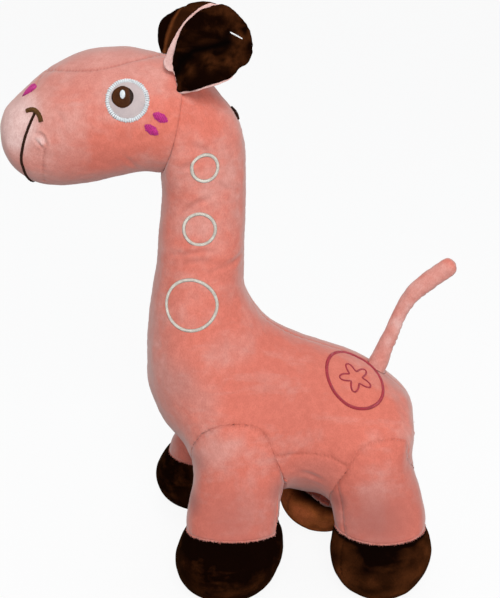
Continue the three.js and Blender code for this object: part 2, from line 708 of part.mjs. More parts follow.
// A tube of round sections through a run of points, with round ends. An inset gives the same tube
// made smaller all round by that distance, with its rings in the same places.
function tubeForm(points, radiusAt, sides, ringCount, inset = 0) {
  const curve = new THREE.CatmullRomCurve3(points);
  const total = curve.getLength();
  const rings = [];
  for (let i = 0; i < ringCount; i += 1) {
    const share = 0.5 - 0.5 * Math.cos((Math.PI * (i + 0.5)) / ringCount);
    const middle = curve.getPointAt(share);
    const along = curve.getTangentAt(share);
    const flat = vector(0, 0, 0).crossVectors(along, vector(0, 1, 0)).normalize();
    const radius = radiusAt(share) - inset;
    const fromEnd = Math.min(share, 1 - share) * total - inset;
    if (fromEnd <= 0) continue;
    const cap = fromEnd < radius ? Math.sqrt(1 - (1 - fromEnd / radius) ** 2) : 1;
    rings.push(Array.from({ length: sides }, (_, k) => {
      const turn = (2 * Math.PI * k) / sides;
      return middle.clone()
        .addScaledVector(flat, radius * cap * Math.cos(turn))
        .add(vector(0, radius * cap * Math.sin(turn), 0));
    }));
  }
  return { rings, start: curve.getPointAt(inset / total), end: curve.getPointAt(1 - inset / total) };
}

// The tail leaves the rump, rises and bends back; its root is round, about its hinge
const tailShares = [[0, 0], [0.11, 0.24], [0.21, 0.475], [0.36, 0.665], [0.59, 0.85]];
const tailDirection = vector(0.42, 0, 0.91);
const [tailX] = torsoAt([0.35, 0]);
const tailFrom = vector(tailX, 0, bellyHeight + torsoHeight / 2).addScaledVector(tailDirection, torsoHeight);
const tailSeat = surfaceAt(body, tailFrom, tailDirection.clone().negate());
const tailStart = tailSeat.point.clone().addScaledVector(tailSeat.normal, seamGap);
const tailPoints = tailShares.map(([x, z]) => vector(x * tailLength, 0, z * tailLength).add(tailStart));
const tailRadius = (share) => (tailThickness / 2) * (1 - 0.14 * Math.sin(Math.PI * share));
const tailForm = (inset) => tubeForm(tailPoints, tailRadius, tailSides, tailRings, inset);
const tailCore = tailForm(plush);
tailCore.start.addScaledVector(tailDirection, -2 * plush);
addSolid('tail_cover', solidOf(tailForm(0)).subtract(solidOf(tailCore)), pinkPlush);
addSolid('tail_filling', solidOf(tailForm(plush + seamGap)), fibre);

// The bar of a tag fastener stays on the left ear
const pinAt = earPoint(ears.left, 0.89, 0.1, plush + seamGap / 2 + pinThickness / 2 + satinLift);
const pin = new THREE.CapsuleGeometry(pinThickness / 2, pinLength - pinThickness, 2, 6);
pin.applyQuaternion(new THREE.Quaternion().setFromUnitVectors(
  vector(0, 1, 0), ears.left.along.clone().addScaledVector(ears.left.axis, 1.8).normalize(),
));
addPart('tag_pin', pin.translate(pinAt.x, pinAt.y, pinAt.z), clearPlastic);

// A short cord loop lies on the seam at the back of the head
const napeAt = neckAt([0.45, 0.83]);
const napeDirection = vector(-0.9, 0, -0.44);
const napeFrom = vector(napeAt[0], 0, napeAt[1]).addScaledVector(napeDirection, -neckDepth);
const nape = seatAt(body, napeFrom, napeDirection, up);
const loopPoints = Array.from({ length: lineSides + 2 }, (_, k) => {
  const share = k / (lineSides + 1);
  const place = onSeat(nape, 0, (share - 0.5) * loopLength);
  const rise = satinLift + cordThickness / 2 + (loopRise - cordThickness) * Math.sin(Math.PI * share);
  return place.point.addScaledVector(place.normal, rise);
});
addPart('hanging_loop',
  formGeometry(tubeForm(loopPoints, () => cordThickness / 2, lineSides + 1, tailRings)), brownPlush);

// The origin goes to the floor, under the middle of the whole giraffe
const whole = new THREE.Box3().setFromObject(group);
const centre = whole.getCenter(vector(0, 0, 0));
group.children.forEach((mesh) => mesh.geometry.translate(-centre.x, -centre.y, -whole.min.z));

export default group;
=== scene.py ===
import math
import bmesh
import bpy
import numpy as np
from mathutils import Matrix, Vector, noise
from mathutils.bvhtree import BVHTree


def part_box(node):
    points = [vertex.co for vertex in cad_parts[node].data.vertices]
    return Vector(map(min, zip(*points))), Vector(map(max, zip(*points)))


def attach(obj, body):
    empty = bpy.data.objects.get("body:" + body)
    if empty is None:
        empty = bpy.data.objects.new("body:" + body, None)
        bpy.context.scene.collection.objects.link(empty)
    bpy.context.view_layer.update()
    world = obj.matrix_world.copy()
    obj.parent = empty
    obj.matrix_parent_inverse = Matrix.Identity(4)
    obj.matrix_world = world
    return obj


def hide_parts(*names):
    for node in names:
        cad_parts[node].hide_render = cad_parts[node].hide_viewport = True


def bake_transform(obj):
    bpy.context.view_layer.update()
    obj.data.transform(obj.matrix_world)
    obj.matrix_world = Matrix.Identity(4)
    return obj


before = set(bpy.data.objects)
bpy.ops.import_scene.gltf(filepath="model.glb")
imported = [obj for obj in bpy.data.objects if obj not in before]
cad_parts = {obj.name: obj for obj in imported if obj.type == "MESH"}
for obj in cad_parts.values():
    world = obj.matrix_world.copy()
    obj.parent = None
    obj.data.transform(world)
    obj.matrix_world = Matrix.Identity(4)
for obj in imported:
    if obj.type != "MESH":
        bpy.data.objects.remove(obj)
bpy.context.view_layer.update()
scene = bpy.context.scene
mm = 0.001
deg = math.pi / 180

# Camera, where the photograph was taken from

photo = dict(width=500, height=598, focal=1263.5, distance=0.95, elevation=20,
             target=(0.01343, -0.00709, 0.2138))


def cameraAxes():
    tilt = photo["elevation"] * deg
    right = np.array([1.0, 0.0, 0.0])
    back = np.array([0.0, -math.cos(tilt), math.sin(tilt)])
    return right, np.cross(back, right), back


def placeCamera():
    right, up, back = cameraAxes()
    data = bpy.data.cameras.new("camera")
    data.sensor_fit = "VERTICAL"
    data.sensor_height = 36
    data.lens = 36 * photo["focal"] / photo["height"]
    data.clip_end = 20
    camera = bpy.data.objects.new("camera", data)
    scene.collection.objects.link(camera)
    camera.location = Vector(photo["target"]) + Vector(back) * photo["distance"]
    camera.rotation_euler = ((90 - photo["elevation"]) * deg, 0, 0)
    scene.camera = camera


placeCamera()

# Sizes of the giraffe, the same as those of its solid model

torso = dict(length=208 * mm, height=126 * mm, width=114 * mm, belly=50 * mm)
neck = dict(height=214 * mm, depth=62 * mm, width=62 * mm)
head = dict(length=124 * mm, height=92 * mm, width=84 * mm, crownWidth=51 * mm, crownLength=82 * mm)
leg = dict(depth=67 * mm, width=56 * mm, hoofLength=81 * mm, hoofWidth=74 * mm, hoofHeight=53 * mm,
           flat=0.5 * mm)
cell = 1.3 * mm  # how fine the cloth meshes are
headCell = 0.8 * cell
pointsRound = dict(body=288, head=260, limb=176, tail=52)

bodyLow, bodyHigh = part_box("left_body_panel")[0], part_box("right_body_panel")[1]
shift = np.array([bodyHigh[0] - 0.62 * torso["length"], (bodyLow[1] + bodyHigh[1]) / 2, 0])


def torsoAt(x, z):
    return x * torso["length"], torso["belly"] + z * torso["height"]


def inMiddle(place):
    return np.array([place[0], 0, place[1]]) + shift


neckRoot = torsoAt(-0.195, 1)


def neckAt(x, z):
    return neckRoot[0] + x * neck["depth"], neckRoot[1] + z * neck["height"]


headRoot = neckAt(-0.242, 0.824)


def headAt(x, z):
    return headRoot[0] + x * head["length"], headRoot[1] + z * head["height"]


# Each row: a place on the back line, one on the belly line, and a share of half the width
torsoRows = [
    ((0.62, 0.49), (0.62, 0.49), 0), ((0.6, 0.645), (0.594, 0.31), 0.6), ((0.545, 0.76), (0.53, 0.15), 0.84),
    ((0.44, 0.895), (0.43, 0.03), 0.97), ((0.29, 1), (0.22, 0.08), 1), ((0.155, 1.08), (0.02, 0.155), 0.99),
    ((0.06, 1.18), (-0.2, 0.26), 0.965),
]
neckRows = [
    ((0.62, 0.215), (-0.56, -0.2), 1.6), ((0.575, 0.325), (-0.61, -0.01), 1.36),
    ((0.595, 0.45), (-0.555, 0.17), 1.15), ((0.605, 0.585), (-0.445, 0.33), 1.02),
    ((0.6, 0.715), (-0.385, 0.455), 0.98), ((0.52, 0.815), (-0.37, 0.545), 1.06),
    ((0.28, 0.91), (-0.375, 0.6), 1.16),
]
headRows = [
    ((-1, -0.075), (-1, -0.075), 0), ((-0.955, 0.07), (-0.97, -0.3), 0.4),
    ((-0.86, 0.2), (-0.9, -0.44), 0.66), ((-0.71, 0.365), (-0.74, -0.515), 0.84),
    ((-0.5, 0.505), (-0.52, -0.51), 0.95), ((-0.3, 0.54), (-0.33, -0.46), 1),
    ((-0.13, 0.51), (-0.2, -0.425), 0.99), ((0.08, 0.44), (-0.055, -0.42), 0.93),
]


def placedRows(rows, placeAt, width):
    return [(*placeAt(*back), *placeAt(*belly), half * width / 2) for back, belly, half in rows]


def turnsOf(count):
    return np.linspace(0, 2 * math.pi, count, endpoint=False)


def lengthAlong(points):
    return np.concatenate([[0], np.cumsum(np.linalg.norm(np.diff(points, axis=0), axis=1))])


# A mark that is 1 in its middle and fades out over its reach
def bell(away, reach):
    return np.exp(-(away / reach) ** 2)


def smoothstep(x, low, high):
    t = np.clip((np.asarray(x, float) - low) / (high - low), 0, 1)
    return t * t * (3 - 2 * t)


# Rows joined by a Catmull-Rom curve, read at shares from 0 to 1
def smoothRun(rows, shares):
    rows = np.array(rows, float)
    last = len(rows) - 1
    place = np.asarray(shares) * last
    low = np.clip(place.astype(int), 0, last)
    w = (place - low)[:, None]
    before, here = rows[np.maximum(low - 1, 0)], rows[low]
    after, beyond = rows[np.minimum(low + 1, last)], rows[np.minimum(low + 2, last)]
    slope, nextSlope = (after - before) / 2, (beyond - here) / 2
    return ((2 * here - 2 * after + slope + nextSlope) * w ** 3
            + (3 * after - 3 * here - 2 * slope - nextSlope) * w ** 2 + slope * w + here)


rowGain = 1.6  # all of a row's numbers together move this much for a step of its middle


# Shares that stand evenly along a run of rows, one step apart
def evenShares(rows, step):
    fine = np.linspace(0.004, 1, 3000)
    length = lengthAlong(smoothRun(rows, fine)) / rowGain
    count = max(8, int(length[-1] / step))
    return np.interp(np.linspace(0, length[-1], count), length, fine)


# Rings between a back line and a belly line, each in its own slanted plane
def chordRings(rows, lower, sides, step):
    backX, backZ, bellyX, bellyZ, half = smoothRun(rows, evenShares(rows, step)).T[:, :, None]
    turn = turnsOf(sides)[None, :]
    x = (backX + bellyX) / 2 + (backX - bellyX) / 2 * np.cos(turn)
    z = (backZ + bellyZ) / 2 + (backZ - bellyZ) / 2 * np.cos(turn)
    y = half * np.sin(turn) * (1 - lower * np.cos(turn))
    return np.stack([x, y, z], axis=-1) + shift


def gridNormals(rings):
    along = np.gradient(rings, axis=0)
    around = np.roll(rings, -1, axis=1) - np.roll(rings, 1, axis=1)
    normals = np.cross(along, around)
    normals /= np.linalg.norm(normals, axis=-1, keepdims=True) + 1e-12
    outward = np.sum(normals * (rings - rings.mean(axis=1, keepdims=True)))
    return normals if outward > 0 else -normals


def markPoints(mesh, label, values, kind="FLOAT"):
    values = np.asarray(values, np.float32).ravel()
    place = "vector" if kind == "FLOAT_VECTOR" else "value"
    mesh.attributes.new(label, kind, "POINT").data.foreach_set(place, values)


# A closed mesh over rings, each end drawn in to a point; marks are numbers for each point
def ringMesh(name, rings, start=None, end=None, marks=None):
    count, sides = rings.shape[:2]
    start = rings[0].mean(axis=0) if start is None else start
    end = rings[-1].mean(axis=0) if end is None else end
    points = np.concatenate([[start], rings.reshape(-1, 3), [end]])
    i, k = np.meshgrid(np.arange(count - 1), np.arange(sides), indexing="ij")
    a, b = 1 + i * sides + k, 1 + i * sides + (k + 1) % sides
    faces = np.stack([a, b, b + sides, a + sides], axis=-1).reshape(-1, 4).tolist()
    tip = len(points) - 1
    first = 1 + (count - 1) * sides
    faces += [(0, 1 + (k + 1) % sides, 1 + k) for k in range(sides)]
    faces += [(tip, first + k, first + (k + 1) % sides) for k in range(sides)]
    mesh = bpy.data.meshes.new(name)
    mesh.from_pydata(points.tolist(), [], faces)
    facing = bmesh.new()
    facing.from_mesh(mesh)
    if facing.calc_volume(signed=True) < 0:
        bmesh.ops.reverse_faces(facing, faces=facing.faces)
    facing.to_mesh(mesh)
    facing.free()
    mesh.polygons.foreach_set("use_smooth", [True] * len(mesh.polygons))
    for label, values in (marks or {}).items():
        markPoints(mesh, label, np.concatenate([values[:1], values, values[-1:]]))
    return mesh


def treeOf(mesh):
    return BVHTree.FromPolygons([v.co for v in mesh.vertices], [p.vertices for p in mesh.polygons])


# with a root given, the piece is not attached to a body and its placement is baked into its mesh; the root's
# points are not used
def addPiece(name, mesh, material, body, nodes, root=None):
    piece = bpy.data.objects.new(name, mesh)
    scene.collection.objects.link(piece)
    mesh.materials.clear()
    mesh.materials.append(material)
    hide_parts(*nodes)
    if root is None:
        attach(piece, body)
    else:
        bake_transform(piece)
    return piece


# Materials


# A node with its settings, and its inputs by name or number, each a value or another node's output
def addNode(tree, kind, inputs, **settings):
    node = tree.nodes.new(kind)
    for label, setting in settings.items():
        setattr(node, label, setting)
    for label, value in inputs.items():
        if hasattr(value, "is_linked"):
            tree.links.new(value, node.inputs[label])
        else:
            node.inputs[label].default_value = value
    return node


def mixColours(tree, factor, first, second):
    return addNode(tree, "ShaderNodeMix", {0: factor, 6: first, 7: second}, data_type="RGBA").outputs[2]


def noiseOf(tree, scale, detail=3, rough=0.55, stretch=(1, 1, 1), offset=(0, 0, 0)):
    place = addNode(tree, "ShaderNodeTexCoord", {}).outputs["Object"]
    mapping = addNode(tree, "ShaderNodeMapping", {"Vector": place, "Scale": stretch, "Location": offset})
    return addNode(tree, "ShaderNodeTexNoise", {"Vector": mapping.outputs["Vector"], "Scale": scale,
                                                "Detail": detail, "Roughness": rough}).outputs["Fac"]


def ranged(tree, value, low, high, toLow=0, toHigh=1):
    limits = {"From Min": low, "From Max": high, "To Min": toLow, "To Max": toHigh}
    return addNode(tree, "ShaderNodeMapRange", {"Value": value, **limits},
                   interpolation_type="SMOOTHSTEP").outputs["Result"]


def newMaterial(name, roughness, specular=0.3):
    material = bpy.data.materials.new(name)
    material.use_nodes = True
    shader = material.node_tree.nodes["Principled BSDF"]
    shader.inputs["Roughness"].default_value = roughness
    shader.inputs["Specular IOR Level"].default_value = specular
    return material, material.node_tree, shader


def bumped(tree, shader, height, strength, distance):
    bump = addNode(tree, "ShaderNodeBump", {"Height": height, "Strength": strength, "Distance": distance})
    tree.links.new(bump.outputs["Normal"], shader.inputs["Normal"])


def attributeOf(tree, name):
    return addNode(tree, "ShaderNodeAttribute", {}, attribute_name=name).outputs["Fac"]


def combined(tree, first, second, how="ADD"):
    return addNode(tree, "ShaderNodeMath", {0: first, 1: second}, operation=how,
                   use_clamp=how == "ADD").outputs[0]


# What both plushes share. Each noise has its scale, detail, roughness and stretch, and each span the two
# values between which its pattern goes from one strength to another
pileLook = dict(
    roughness=0.95, sheenRoughness=0.4, bump=(0.45, 0.5 * mm), patchNoise=(4, 0.6),
    strokeNoise=(70, 3, 0.6, (0.3, 1, 1.2)), strokeSpan=(0.5, 0.72, 0),
    clumpNoise=(190, 3, 0.6, (1, 1, 1)), clumpSpan=(0.35, 0.7, 0.2, 0),
    fibreNoise=(1300, 2, 0.7, (1, 1, 0.5)), fibreSpan=(0.3, 0.62, 0.24, 0), paleAndLitSpan=(0.9, 2), seamShare=0.5)


# Short pile: brushed patches and strokes, clumps and single fibres; dark seams, partly thread and partly
# painted shade in their grooves; painted shade from the shade mark; and a painted velvet sheen that turns the
# colour paler towards grazing edges
def plushMaterial(name, look, offset=(0, 0, 0)):
    look = pileLook | look
    material, tree, shader = newMaterial(name, look["roughness"], look["shine"])
    patches = noiseOf(tree, look["patchScale"], *look["patchNoise"], offset=offset)
    patches = ranged(tree, patches, *look["patches"])
    strokes = noiseOf(tree, *look["strokeNoise"], offset)
    strokes = ranged(tree, strokes, *look["strokeSpan"], look["strokes"])
    clumps = ranged(tree, noiseOf(tree, *look["clumpNoise"], offset), *look["clumpSpan"])
    fibres = noiseOf(tree, *look["fibreNoise"])
    tone = attributeOf(tree, "tone")
    pale = combined(tree, combined(tree, patches, strokes), tone)
    # Painted sheen: the colour pales towards edges seen at a grazing angle
    edge = addNode(tree, "ShaderNodeLayerWeight", {"Blend": 0.5}).outputs["Facing"]
    colour = mixColours(tree, pale, look["laid"], look["brushed"])
    for share, dye in (
        # The highest tones take the palest colour, partly the pile's own and partly painted light
        (ranged(tree, tone, *look["paleAndLitSpan"]), look["paleAndLit"]),
        (clumps, look["deep"]),
        (ranged(tree, fibres, *look["fibreSpan"]), look["deep"]),
        (ranged(tree, edge, *look["sheenEdgeFrom"], 0, look["sheenEdgeShare"]), look["edge"]),
        # Painted shade, where the shade mark says
        (combined(tree, attributeOf(tree, "shade"), 1, "MULTIPLY"), look["shade"]),
        (combined(tree, attributeOf(tree, "seam"), look["seamShare"], "MULTIPLY"), look["seam"]),
    ):
        colour = mixColours(tree, share, colour, dye)
    tree.links.new(colour, shader.inputs["Base Color"])
    shader.inputs["Sheen Weight"].default_value = look["sheen"]
    shader.inputs["Sheen Roughness"].default_value = look["sheenRoughness"]
    shader.inputs["Sheen Tint"].default_value = look["sheenTint"]
    bumped(tree, shader, fibres, *look["bump"])
    return material


# Fine lines or fibres, and the uneven colour under them: each noise with its scale, detail and roughness,
# and the span over which its dark share goes to nothing
satinLook = dict(fine=(1800, 1, 0.5), fineSpan=(0.35, 0.6), clouds=(260, 2, 0.5), cloudSpan=(0.3, 0.7),
                 share=0.35, bump=(0.35, 0.15 * mm))
feltLook = dict(fine=(1100, 4, 0.75), fineSpan=(0.35, 0.6), clouds=(130, 3, 0.6), cloudSpan=(0.35, 0.7),
                share=0.5, bump=(0.5, 0.25 * mm))


# Embroidery thread and felt; the bed mark darkens the colour, partly as the padding seen between threads and
# partly as painted shade along the edges of wide beds
def fibreMaterial(name, look, colour, dark, roughness=0.42, sheen=0.15, specular=0.5):
    material, tree, shader = newMaterial(name, roughness, specular)
    fine = noiseOf(tree, *look["fine"])
    clouds = noiseOf(tree, *look["clouds"])
    mixed = colour
    for share in (ranged(tree, clouds, *look["cloudSpan"], look["share"], 0),
                  ranged(tree, fine, *look["fineSpan"], look["share"], 0), attributeOf(tree, "bed")):
        mixed = mixColours(tree, share, mixed, dark)
    tree.links.new(mixed, shader.inputs["Base Color"])
    shader.inputs["Sheen Weight"].default_value = sheen
    bumped(tree, shader, fine, *look["bump"])
    return material


# In each look, edge is the colour of the painted velvet sheen, shade the colour of painted shade, seam the
# colour of the thread together with the painted shade in seam grooves, and the palest colour stands partly
# for painted light
pinkLook = dict(
    laid=(0.72, 0.2, 0.145, 1), brushed=(0.72, 0.335, 0.285, 1), paleAndLit=(0.88, 0.62, 0.58, 1),
    deep=(0.4, 0.075, 0.05, 1), edge=(0.6, 0.37, 0.335, 1), seam=(0.25, 0.045, 0.03, 1),
    shade=(0.36, 0.12, 0.1, 1), patchScale=17, patches=(0.48, 0.72), strokes=0.42,
    sheenEdgeFrom=(0.3, 0.95), sheenEdgeShare=0.85, shine=0.1, sheen=0.3, sheenTint=(1, 0.88, 0.85, 1))
brownLook = dict(
    laid=(0.006, 0.0018, 0.0008, 1), brushed=(0.5, 0.14, 0.04, 1), paleAndLit=(0.58, 0.15, 0.05, 1),
    deep=(0.002, 0.0007, 0.0005, 1), edge=(0.035, 0.012, 0.004, 1), seam=(0.002, 0.001, 0.001, 1),
    shade=(0.002, 0.001, 0.0008, 1), patchScale=70, patches=(0.48, 0.75, 0, 0.06), strokes=0.06,
    sheenEdgeFrom=(0.6, 1), sheenEdgeShare=0.4, shine=0, sheen=0.01, sheenTint=(0.9, 0.5, 0.25, 1))
pinkPlush = plushMaterial("pinkPlush", pinkLook)
brownPlush = plushMaterial("brownPlush", brownLook, (3, 1, 2))
# Each thread: its colour, its dark colour and, where it isn't plain, its roughness, sheen and shine. The dark
# colour also colours the bed, which is partly painted shade
whiteThread, creamThread, magentaThread, brownThread, lineThread, goldenThread, redThread = (
    fibreMaterial(name + "Thread", satinLook, *row) for name, *row in (
        ("white", (0.8, 0.84, 0.86, 1), (0.5, 0.54, 0.57, 1)),
        ("cream", (0.76, 0.75, 0.67, 1), (0.26, 0.2, 0.17, 1)),
        ("magenta", (0.62, 0.03, 0.27, 1), (0.2, 0.006, 0.09, 1), 0.5, 0.05, 0.3),
        ("brown", (0.1, 0.03, 0.007, 1), (0.012, 0.003, 0.001, 1), 0.5, 0, 0.12),
        ("line", (0.035, 0.011, 0.004, 1), (0.008, 0.002, 0.001, 1), 0.5, 0, 0.1),
        ("golden", (0.13, 0.055, 0.01, 1), (0.02, 0.006, 0.002, 1), 0.45, 0, 0.15),
        ("red", (0.4, 0.015, 0.035, 1), (0.17, 0.005, 0.015, 1)),
    ))
paleFelt = fibreMaterial("paleFelt", feltLook, (0.53, 0.445, 0.44, 1), (0.44, 0.37, 0.38, 1), 0.95, 0.2, 0.15)
pinPlastic, pinTree, pinShader = newMaterial("pinPlastic", 0.3, 0.5)
pinShader.inputs["Base Color"].default_value = (0.85, 0.86, 0.87, 1)
bumped(pinTree, pinShader, noiseOf(pinTree, 700, 2), 0.2, 0.05 * mm)
print("materials made")

# Forms of the body, the head and the legs before their seams are drawn in

bodyForm = placedRows(torsoRows, torsoAt, torso["width"]) + placedRows(neckRows, neckAt, neck["width"])
headForm = placedRows(headRows, headAt, head["width"])
bodyForm.append(headForm[-1])
bodyRings = chordRings(bodyForm, 0.1, pointsRound["body"], cell)
headRings = chordRings(headForm, 0.04, pointsRound["head"], headCell)
bodyTip = inMiddle(torsoAt(*torsoRows[0][0]))
headTip = inMiddle(headAt(*headRows[0][0]))

hoofShares = [(0, 0.4), (0.05, 0.56), (0.17, 0.76), (0.36, 0.92), (0.6, 1), (0.84, 0.95), (1, 0.87)]
legShares = [(0.1, 1.05), (0.3, 1.03), (0.54, 1.03), (0.74, 1.02), (0.88, 0.92), (0.97, 0.6)]
hips = dict(front=dict(along=-0.04, height=0.75, out=0.68, size=1, toe=0.06),
            hind=dict(along=0.43, height=0.62, out=0.64, size=0.94, toe=0.02))
# Each foot: its side, its step back from the hip and how far out it stands
feet = [("left_front", -1, -0.07, 1.09), ("right_front", 1, -0.37, 1.34),
        ("left_hind", -1, 0.12, 1.04), ("right_hind", 1, -0.33, 0.72)]


def onFloor(rings):
    rings[..., 2] = np.maximum(rings[..., 2], 0)
    return rings


def limbRings(name, side, step, spread):
    hipOf = hips[name.split("_")[1]]
    hipTop = torso["belly"] + hipOf["height"] * torso["height"]
    hipPlace = np.array([hipOf["along"] * torso["length"], side * hipOf["out"] * torso["width"] / 2, hipTop])
    foot = np.array([hipPlace[0] + step * leg["hoofLength"], side * spread * torso["width"] / 2, 0])
    flat, hoof, size = leg["flat"], leg["hoofHeight"], hipOf["size"]
    rows = [(h * (hoof + flat) - flat, size * s * leg["hoofLength"] / 2, size * s * leg["hoofWidth"] / 2)
            for h, s in hoofShares]
    rows += [(hoof + h * (hipTop - hoof), size * s * leg["depth"] / 2, size * s * leg["width"] / 2)
             for h, s in legShares]
    shares = evenShares(rows, cell * 0.8)
    shares[0] = 0
    height, halfLength, halfWidth = smoothRun(rows, shares).T[:, :, None]
    middle = foot + (hipPlace - foot) * smoothstep(height, hoof / 2, hipTop)[..., None]
    toe = hipOf["toe"] * leg["hoofLength"] * (1 - smoothstep(height, -flat, hoof))
    turn = turnsOf(pointsRound["limb"])[None, :]
    x = middle[..., 0] - toe + halfLength * np.cos(turn)
    y = middle[..., 1] + halfWidth * np.sin(turn)
    rings = np.stack([x, y, np.broadcast_to(height, x.shape)], axis=-1) + shift
    return onFloor(rings), hipPlace + shift


# The line of sight through a point of the photograph
def throughPhoto(x, y):
    right, up, back = cameraAxes()
    origin = np.array(photo["target"]) + back * photo["distance"]
    way = right * (x - photo["width"] / 2) - up * (y - (photo["height"] / 2)) - back * photo["focal"]
    return Vector(origin), Vector(way).normalized()


# Where the outline fills out or draws in. Each row: a point of the photograph, how far in front of the
# middle it lies, its reach, and its move along and up
outlineMoves = [
    (175, 440, 0, 20, 6, 0), (150, 395, 0, 16, 3, 0), (415, 442, 18, 16, -6, 0),
    (424, 494, 30, 24, 3, 0), (158, 234, 0, 26, -1.8, 0), (245, 250, 0, 18, 1.2, 0),
    (15, 173, 0, 13, 3.5, 0), (62, 184, 0, 26, 0, -1.4),
]


def shaped(rings):
    for x, y, out, reach, along, up in outlineMoves:
        start, way = throughPhoto(x, y)
        place = start + way * ((shift[1] - out * mm - start[1]) / way[1])
        away = np.hypot(rings[..., 0] - place[0], rings[..., 2] - place[2])
        near = mm * bell(away, reach * mm)
        rings[..., 0] += along * near
        rings[..., 2] += up * near


limbs = {foot[0]: limbRings(*foot) for foot in feet}
for rings, hip in limbs.values():
    shaped(rings)
    onFloor(rings)
shaped(bodyRings)
shaped(headRings)
bodyTree = treeOf(ringMesh("bodyForm", bodyRings[::2, ::2], bodyTip))
limbTrees = {name: treeOf(ringMesh(name, rings[::2, ::2], end=hip)) for name, (rings, hip) in limbs.items()}

# Marks in the cloth: seams, tucks and folds


# Points of the photograph carried on to a form
def drawnOn(tree, pixels):
    hits = [tree.ray_cast(*throughPhoto(x, y))[0] for x, y in pixels]
    return np.array([tuple(hit) for hit in hits if hit is not None])


# Distance of each point from a run of points, and how far along the run its foot is
def fromLine(points, line, closed=False):
    line = np.asarray(line)
    ends = np.roll(line, -1, axis=0) if closed else line[1:]
    starts = line if closed else line[:-1]
    best = np.full(len(points), 1e3)
    along = np.zeros(len(points))
    travelled = 0
    for a, b in zip(starts, ends):
        reach = b - a
        size = max(float(np.linalg.norm(reach)), 1e-9)
        t = np.clip((points - a) @ reach / size ** 2, 0, 1)
        away = np.linalg.norm(points - a - t[:, None] * reach, axis=1)
        nearer = away < best
        best[nearer] = away[nearer]
        along[nearer] = travelled + t[nearer] * size
        travelled += size
    return best, along


# Soft lumps from -1 to 1
def lumps(points, size, seed):
    place = points / size + seed
    return np.array([noise.noise(Vector(p)) for p in place.tolist()])


def runLumps(along, size, seed):
    steps = np.arange(0, float(along.max()) / size + 3, 0.25)
    values = np.array([noise.noise(Vector((s, seed, 0.3))) for s in steps])
    return np.interp(along / size, steps, values)


seamLook = dict(groove=0.8 * mm, width=0.8 * mm, shoulder=0.35 * mm, shoulderReach=3 * mm, tuck=0.75 * mm,
                tuckReach=4.5 * mm, tuckStep=6 * mm, stitch=2.6 * mm)


# What sewing does to the points of a piece: how far each moves out, and its seam, tone and shade marks. The
# shade mark is painted shade, the seam mark is thread together with painted shade in the groove and tucks,
# and the tone is partly painted light
class Sewing:
    def __init__(self, points):
        self.points = points
        self.dip, self.seam, self.tone, self.shade = (np.zeros(len(points)) for _ in range(4))

    # A seam: a narrow groove between rolled edges, with small tucks out of it and its thread showing. Its
    # dark mark is the thread along the groove together with painted shade in the groove and in the tucks
    def sew(self, away, along, seed, strength=1.0, tucks=1.0, where=True):
        wave = np.cos(2 * math.pi * along / seamLook["tuckStep"] + 5 * runLumps(along, 9 * mm, seed))
        size = np.clip(0.55 + 0.9 * runLumps(along, 14 * mm, seed + 7), 0, 1.3) * (0.5 - 0.5 * wave) ** 3
        groove = seamLook["groove"] * bell(away, seamLook["width"])
        shoulder = seamLook["shoulder"] * bell(away, seamLook["shoulderReach"])
        tuck = seamLook["tuck"] * tucks * size * np.exp(-away / seamLook["tuckReach"])
        self.dip -= np.where(where, strength * (groove + shoulder + tuck), 0)
        stitch = 0.6 + 0.4 * np.cos(2 * math.pi * along / seamLook["stitch"])
        dark = strength * (stitch * bell(away, seamLook["width"])
                           + 0.3 * tucks * size * np.exp(-away / (0.4 * seamLook["tuckReach"])))
        self.seam = np.maximum(self.seam, np.where(where, np.clip(dark, 0, 1), 0))

    # A crease with a soft lip beside it, fading out at its ends, darkened along its line with painted shade
    def fold(self, line, depth, width, lip=0.4):
        away, along = fromLine(self.points, line)
        fade = np.sin(math.pi * np.clip(along / lengthAlong(line)[-1], 0.02, 0.98)) ** 0.6
        self.dip += fade * depth * (lip * bell(away - 2.2 * width, width) - bell(away, width))
        dark = fade * 0.35 * min(1, depth / mm) * bell(away, 0.7 * width)
        self.shade = np.maximum(self.shade, dark)

    # The uneven stuffing under the cloth
    def stuff(self, seed, size=1.0):
        for height, across, more in ((0.9, 34, 0), (0.45, 13, 4), (0.16, 5, 9)):
            self.dip += size * height * mm * lumps(self.points, across * mm, seed + more)

    # Paler or darker places, the same on both sides: a point of the photograph, reach, tone and shade. The
    # shade is painted shade, and the tone is partly painted light and shade
    def tint(self, tree, spots):
        for x, y, reach, tone, shade in spots:
            place = drawnOn(tree, [(x, y)])
            if len(place):
                away = np.hypot(self.points[:, 0] - place[0][0], self.points[:, 2] - place[0][2])
                near = bell(away, reach * mm)
                self.tone += tone * near
                self.shade = np.maximum(self.shade, shade * near)

    def marks(self):
        return {"seam": self.seam, "tone": np.clip(self.tone, -1, 2), "shade": np.clip(self.shade, 0, 1)}


def displaced(rings, dip):
    normals = gridNormals(rings)
    return rings + normals * dip.reshape(*rings.shape[:2], 1)


def signedGap(tree, place, reach):
    hit, normal, _, distance = tree.find_nearest(place, reach)
    if hit is None:
        return None, None
    return (distance if (place - hit).dot(normal) > 0 else -distance), normal


# How two stuffed forms meet: the hollow's width, how far down a leg its seam lies from the hollow's
# middle, how deep in the other form points still move, how far a cloth goes in under the other, and how
# high on a leg it all starts
meeting = dict(hollow=20 * mm, seamIn=5 * mm, deep=7 * mm, under=3 * mm, lowest=55 * mm)
# The seam round a hip: its radius, and how far below the hip its middle lies
hipSeam = dict(radius=34 * mm, below=30 * mm, strength=0.55, tucks=1.6, reach=30 * mm, slope=1.4)
# The part of the body that a leg can reach: above its hip, along from it and past the middle
legReach = dict(above=50 * mm, along=75 * mm, past=12 * mm)


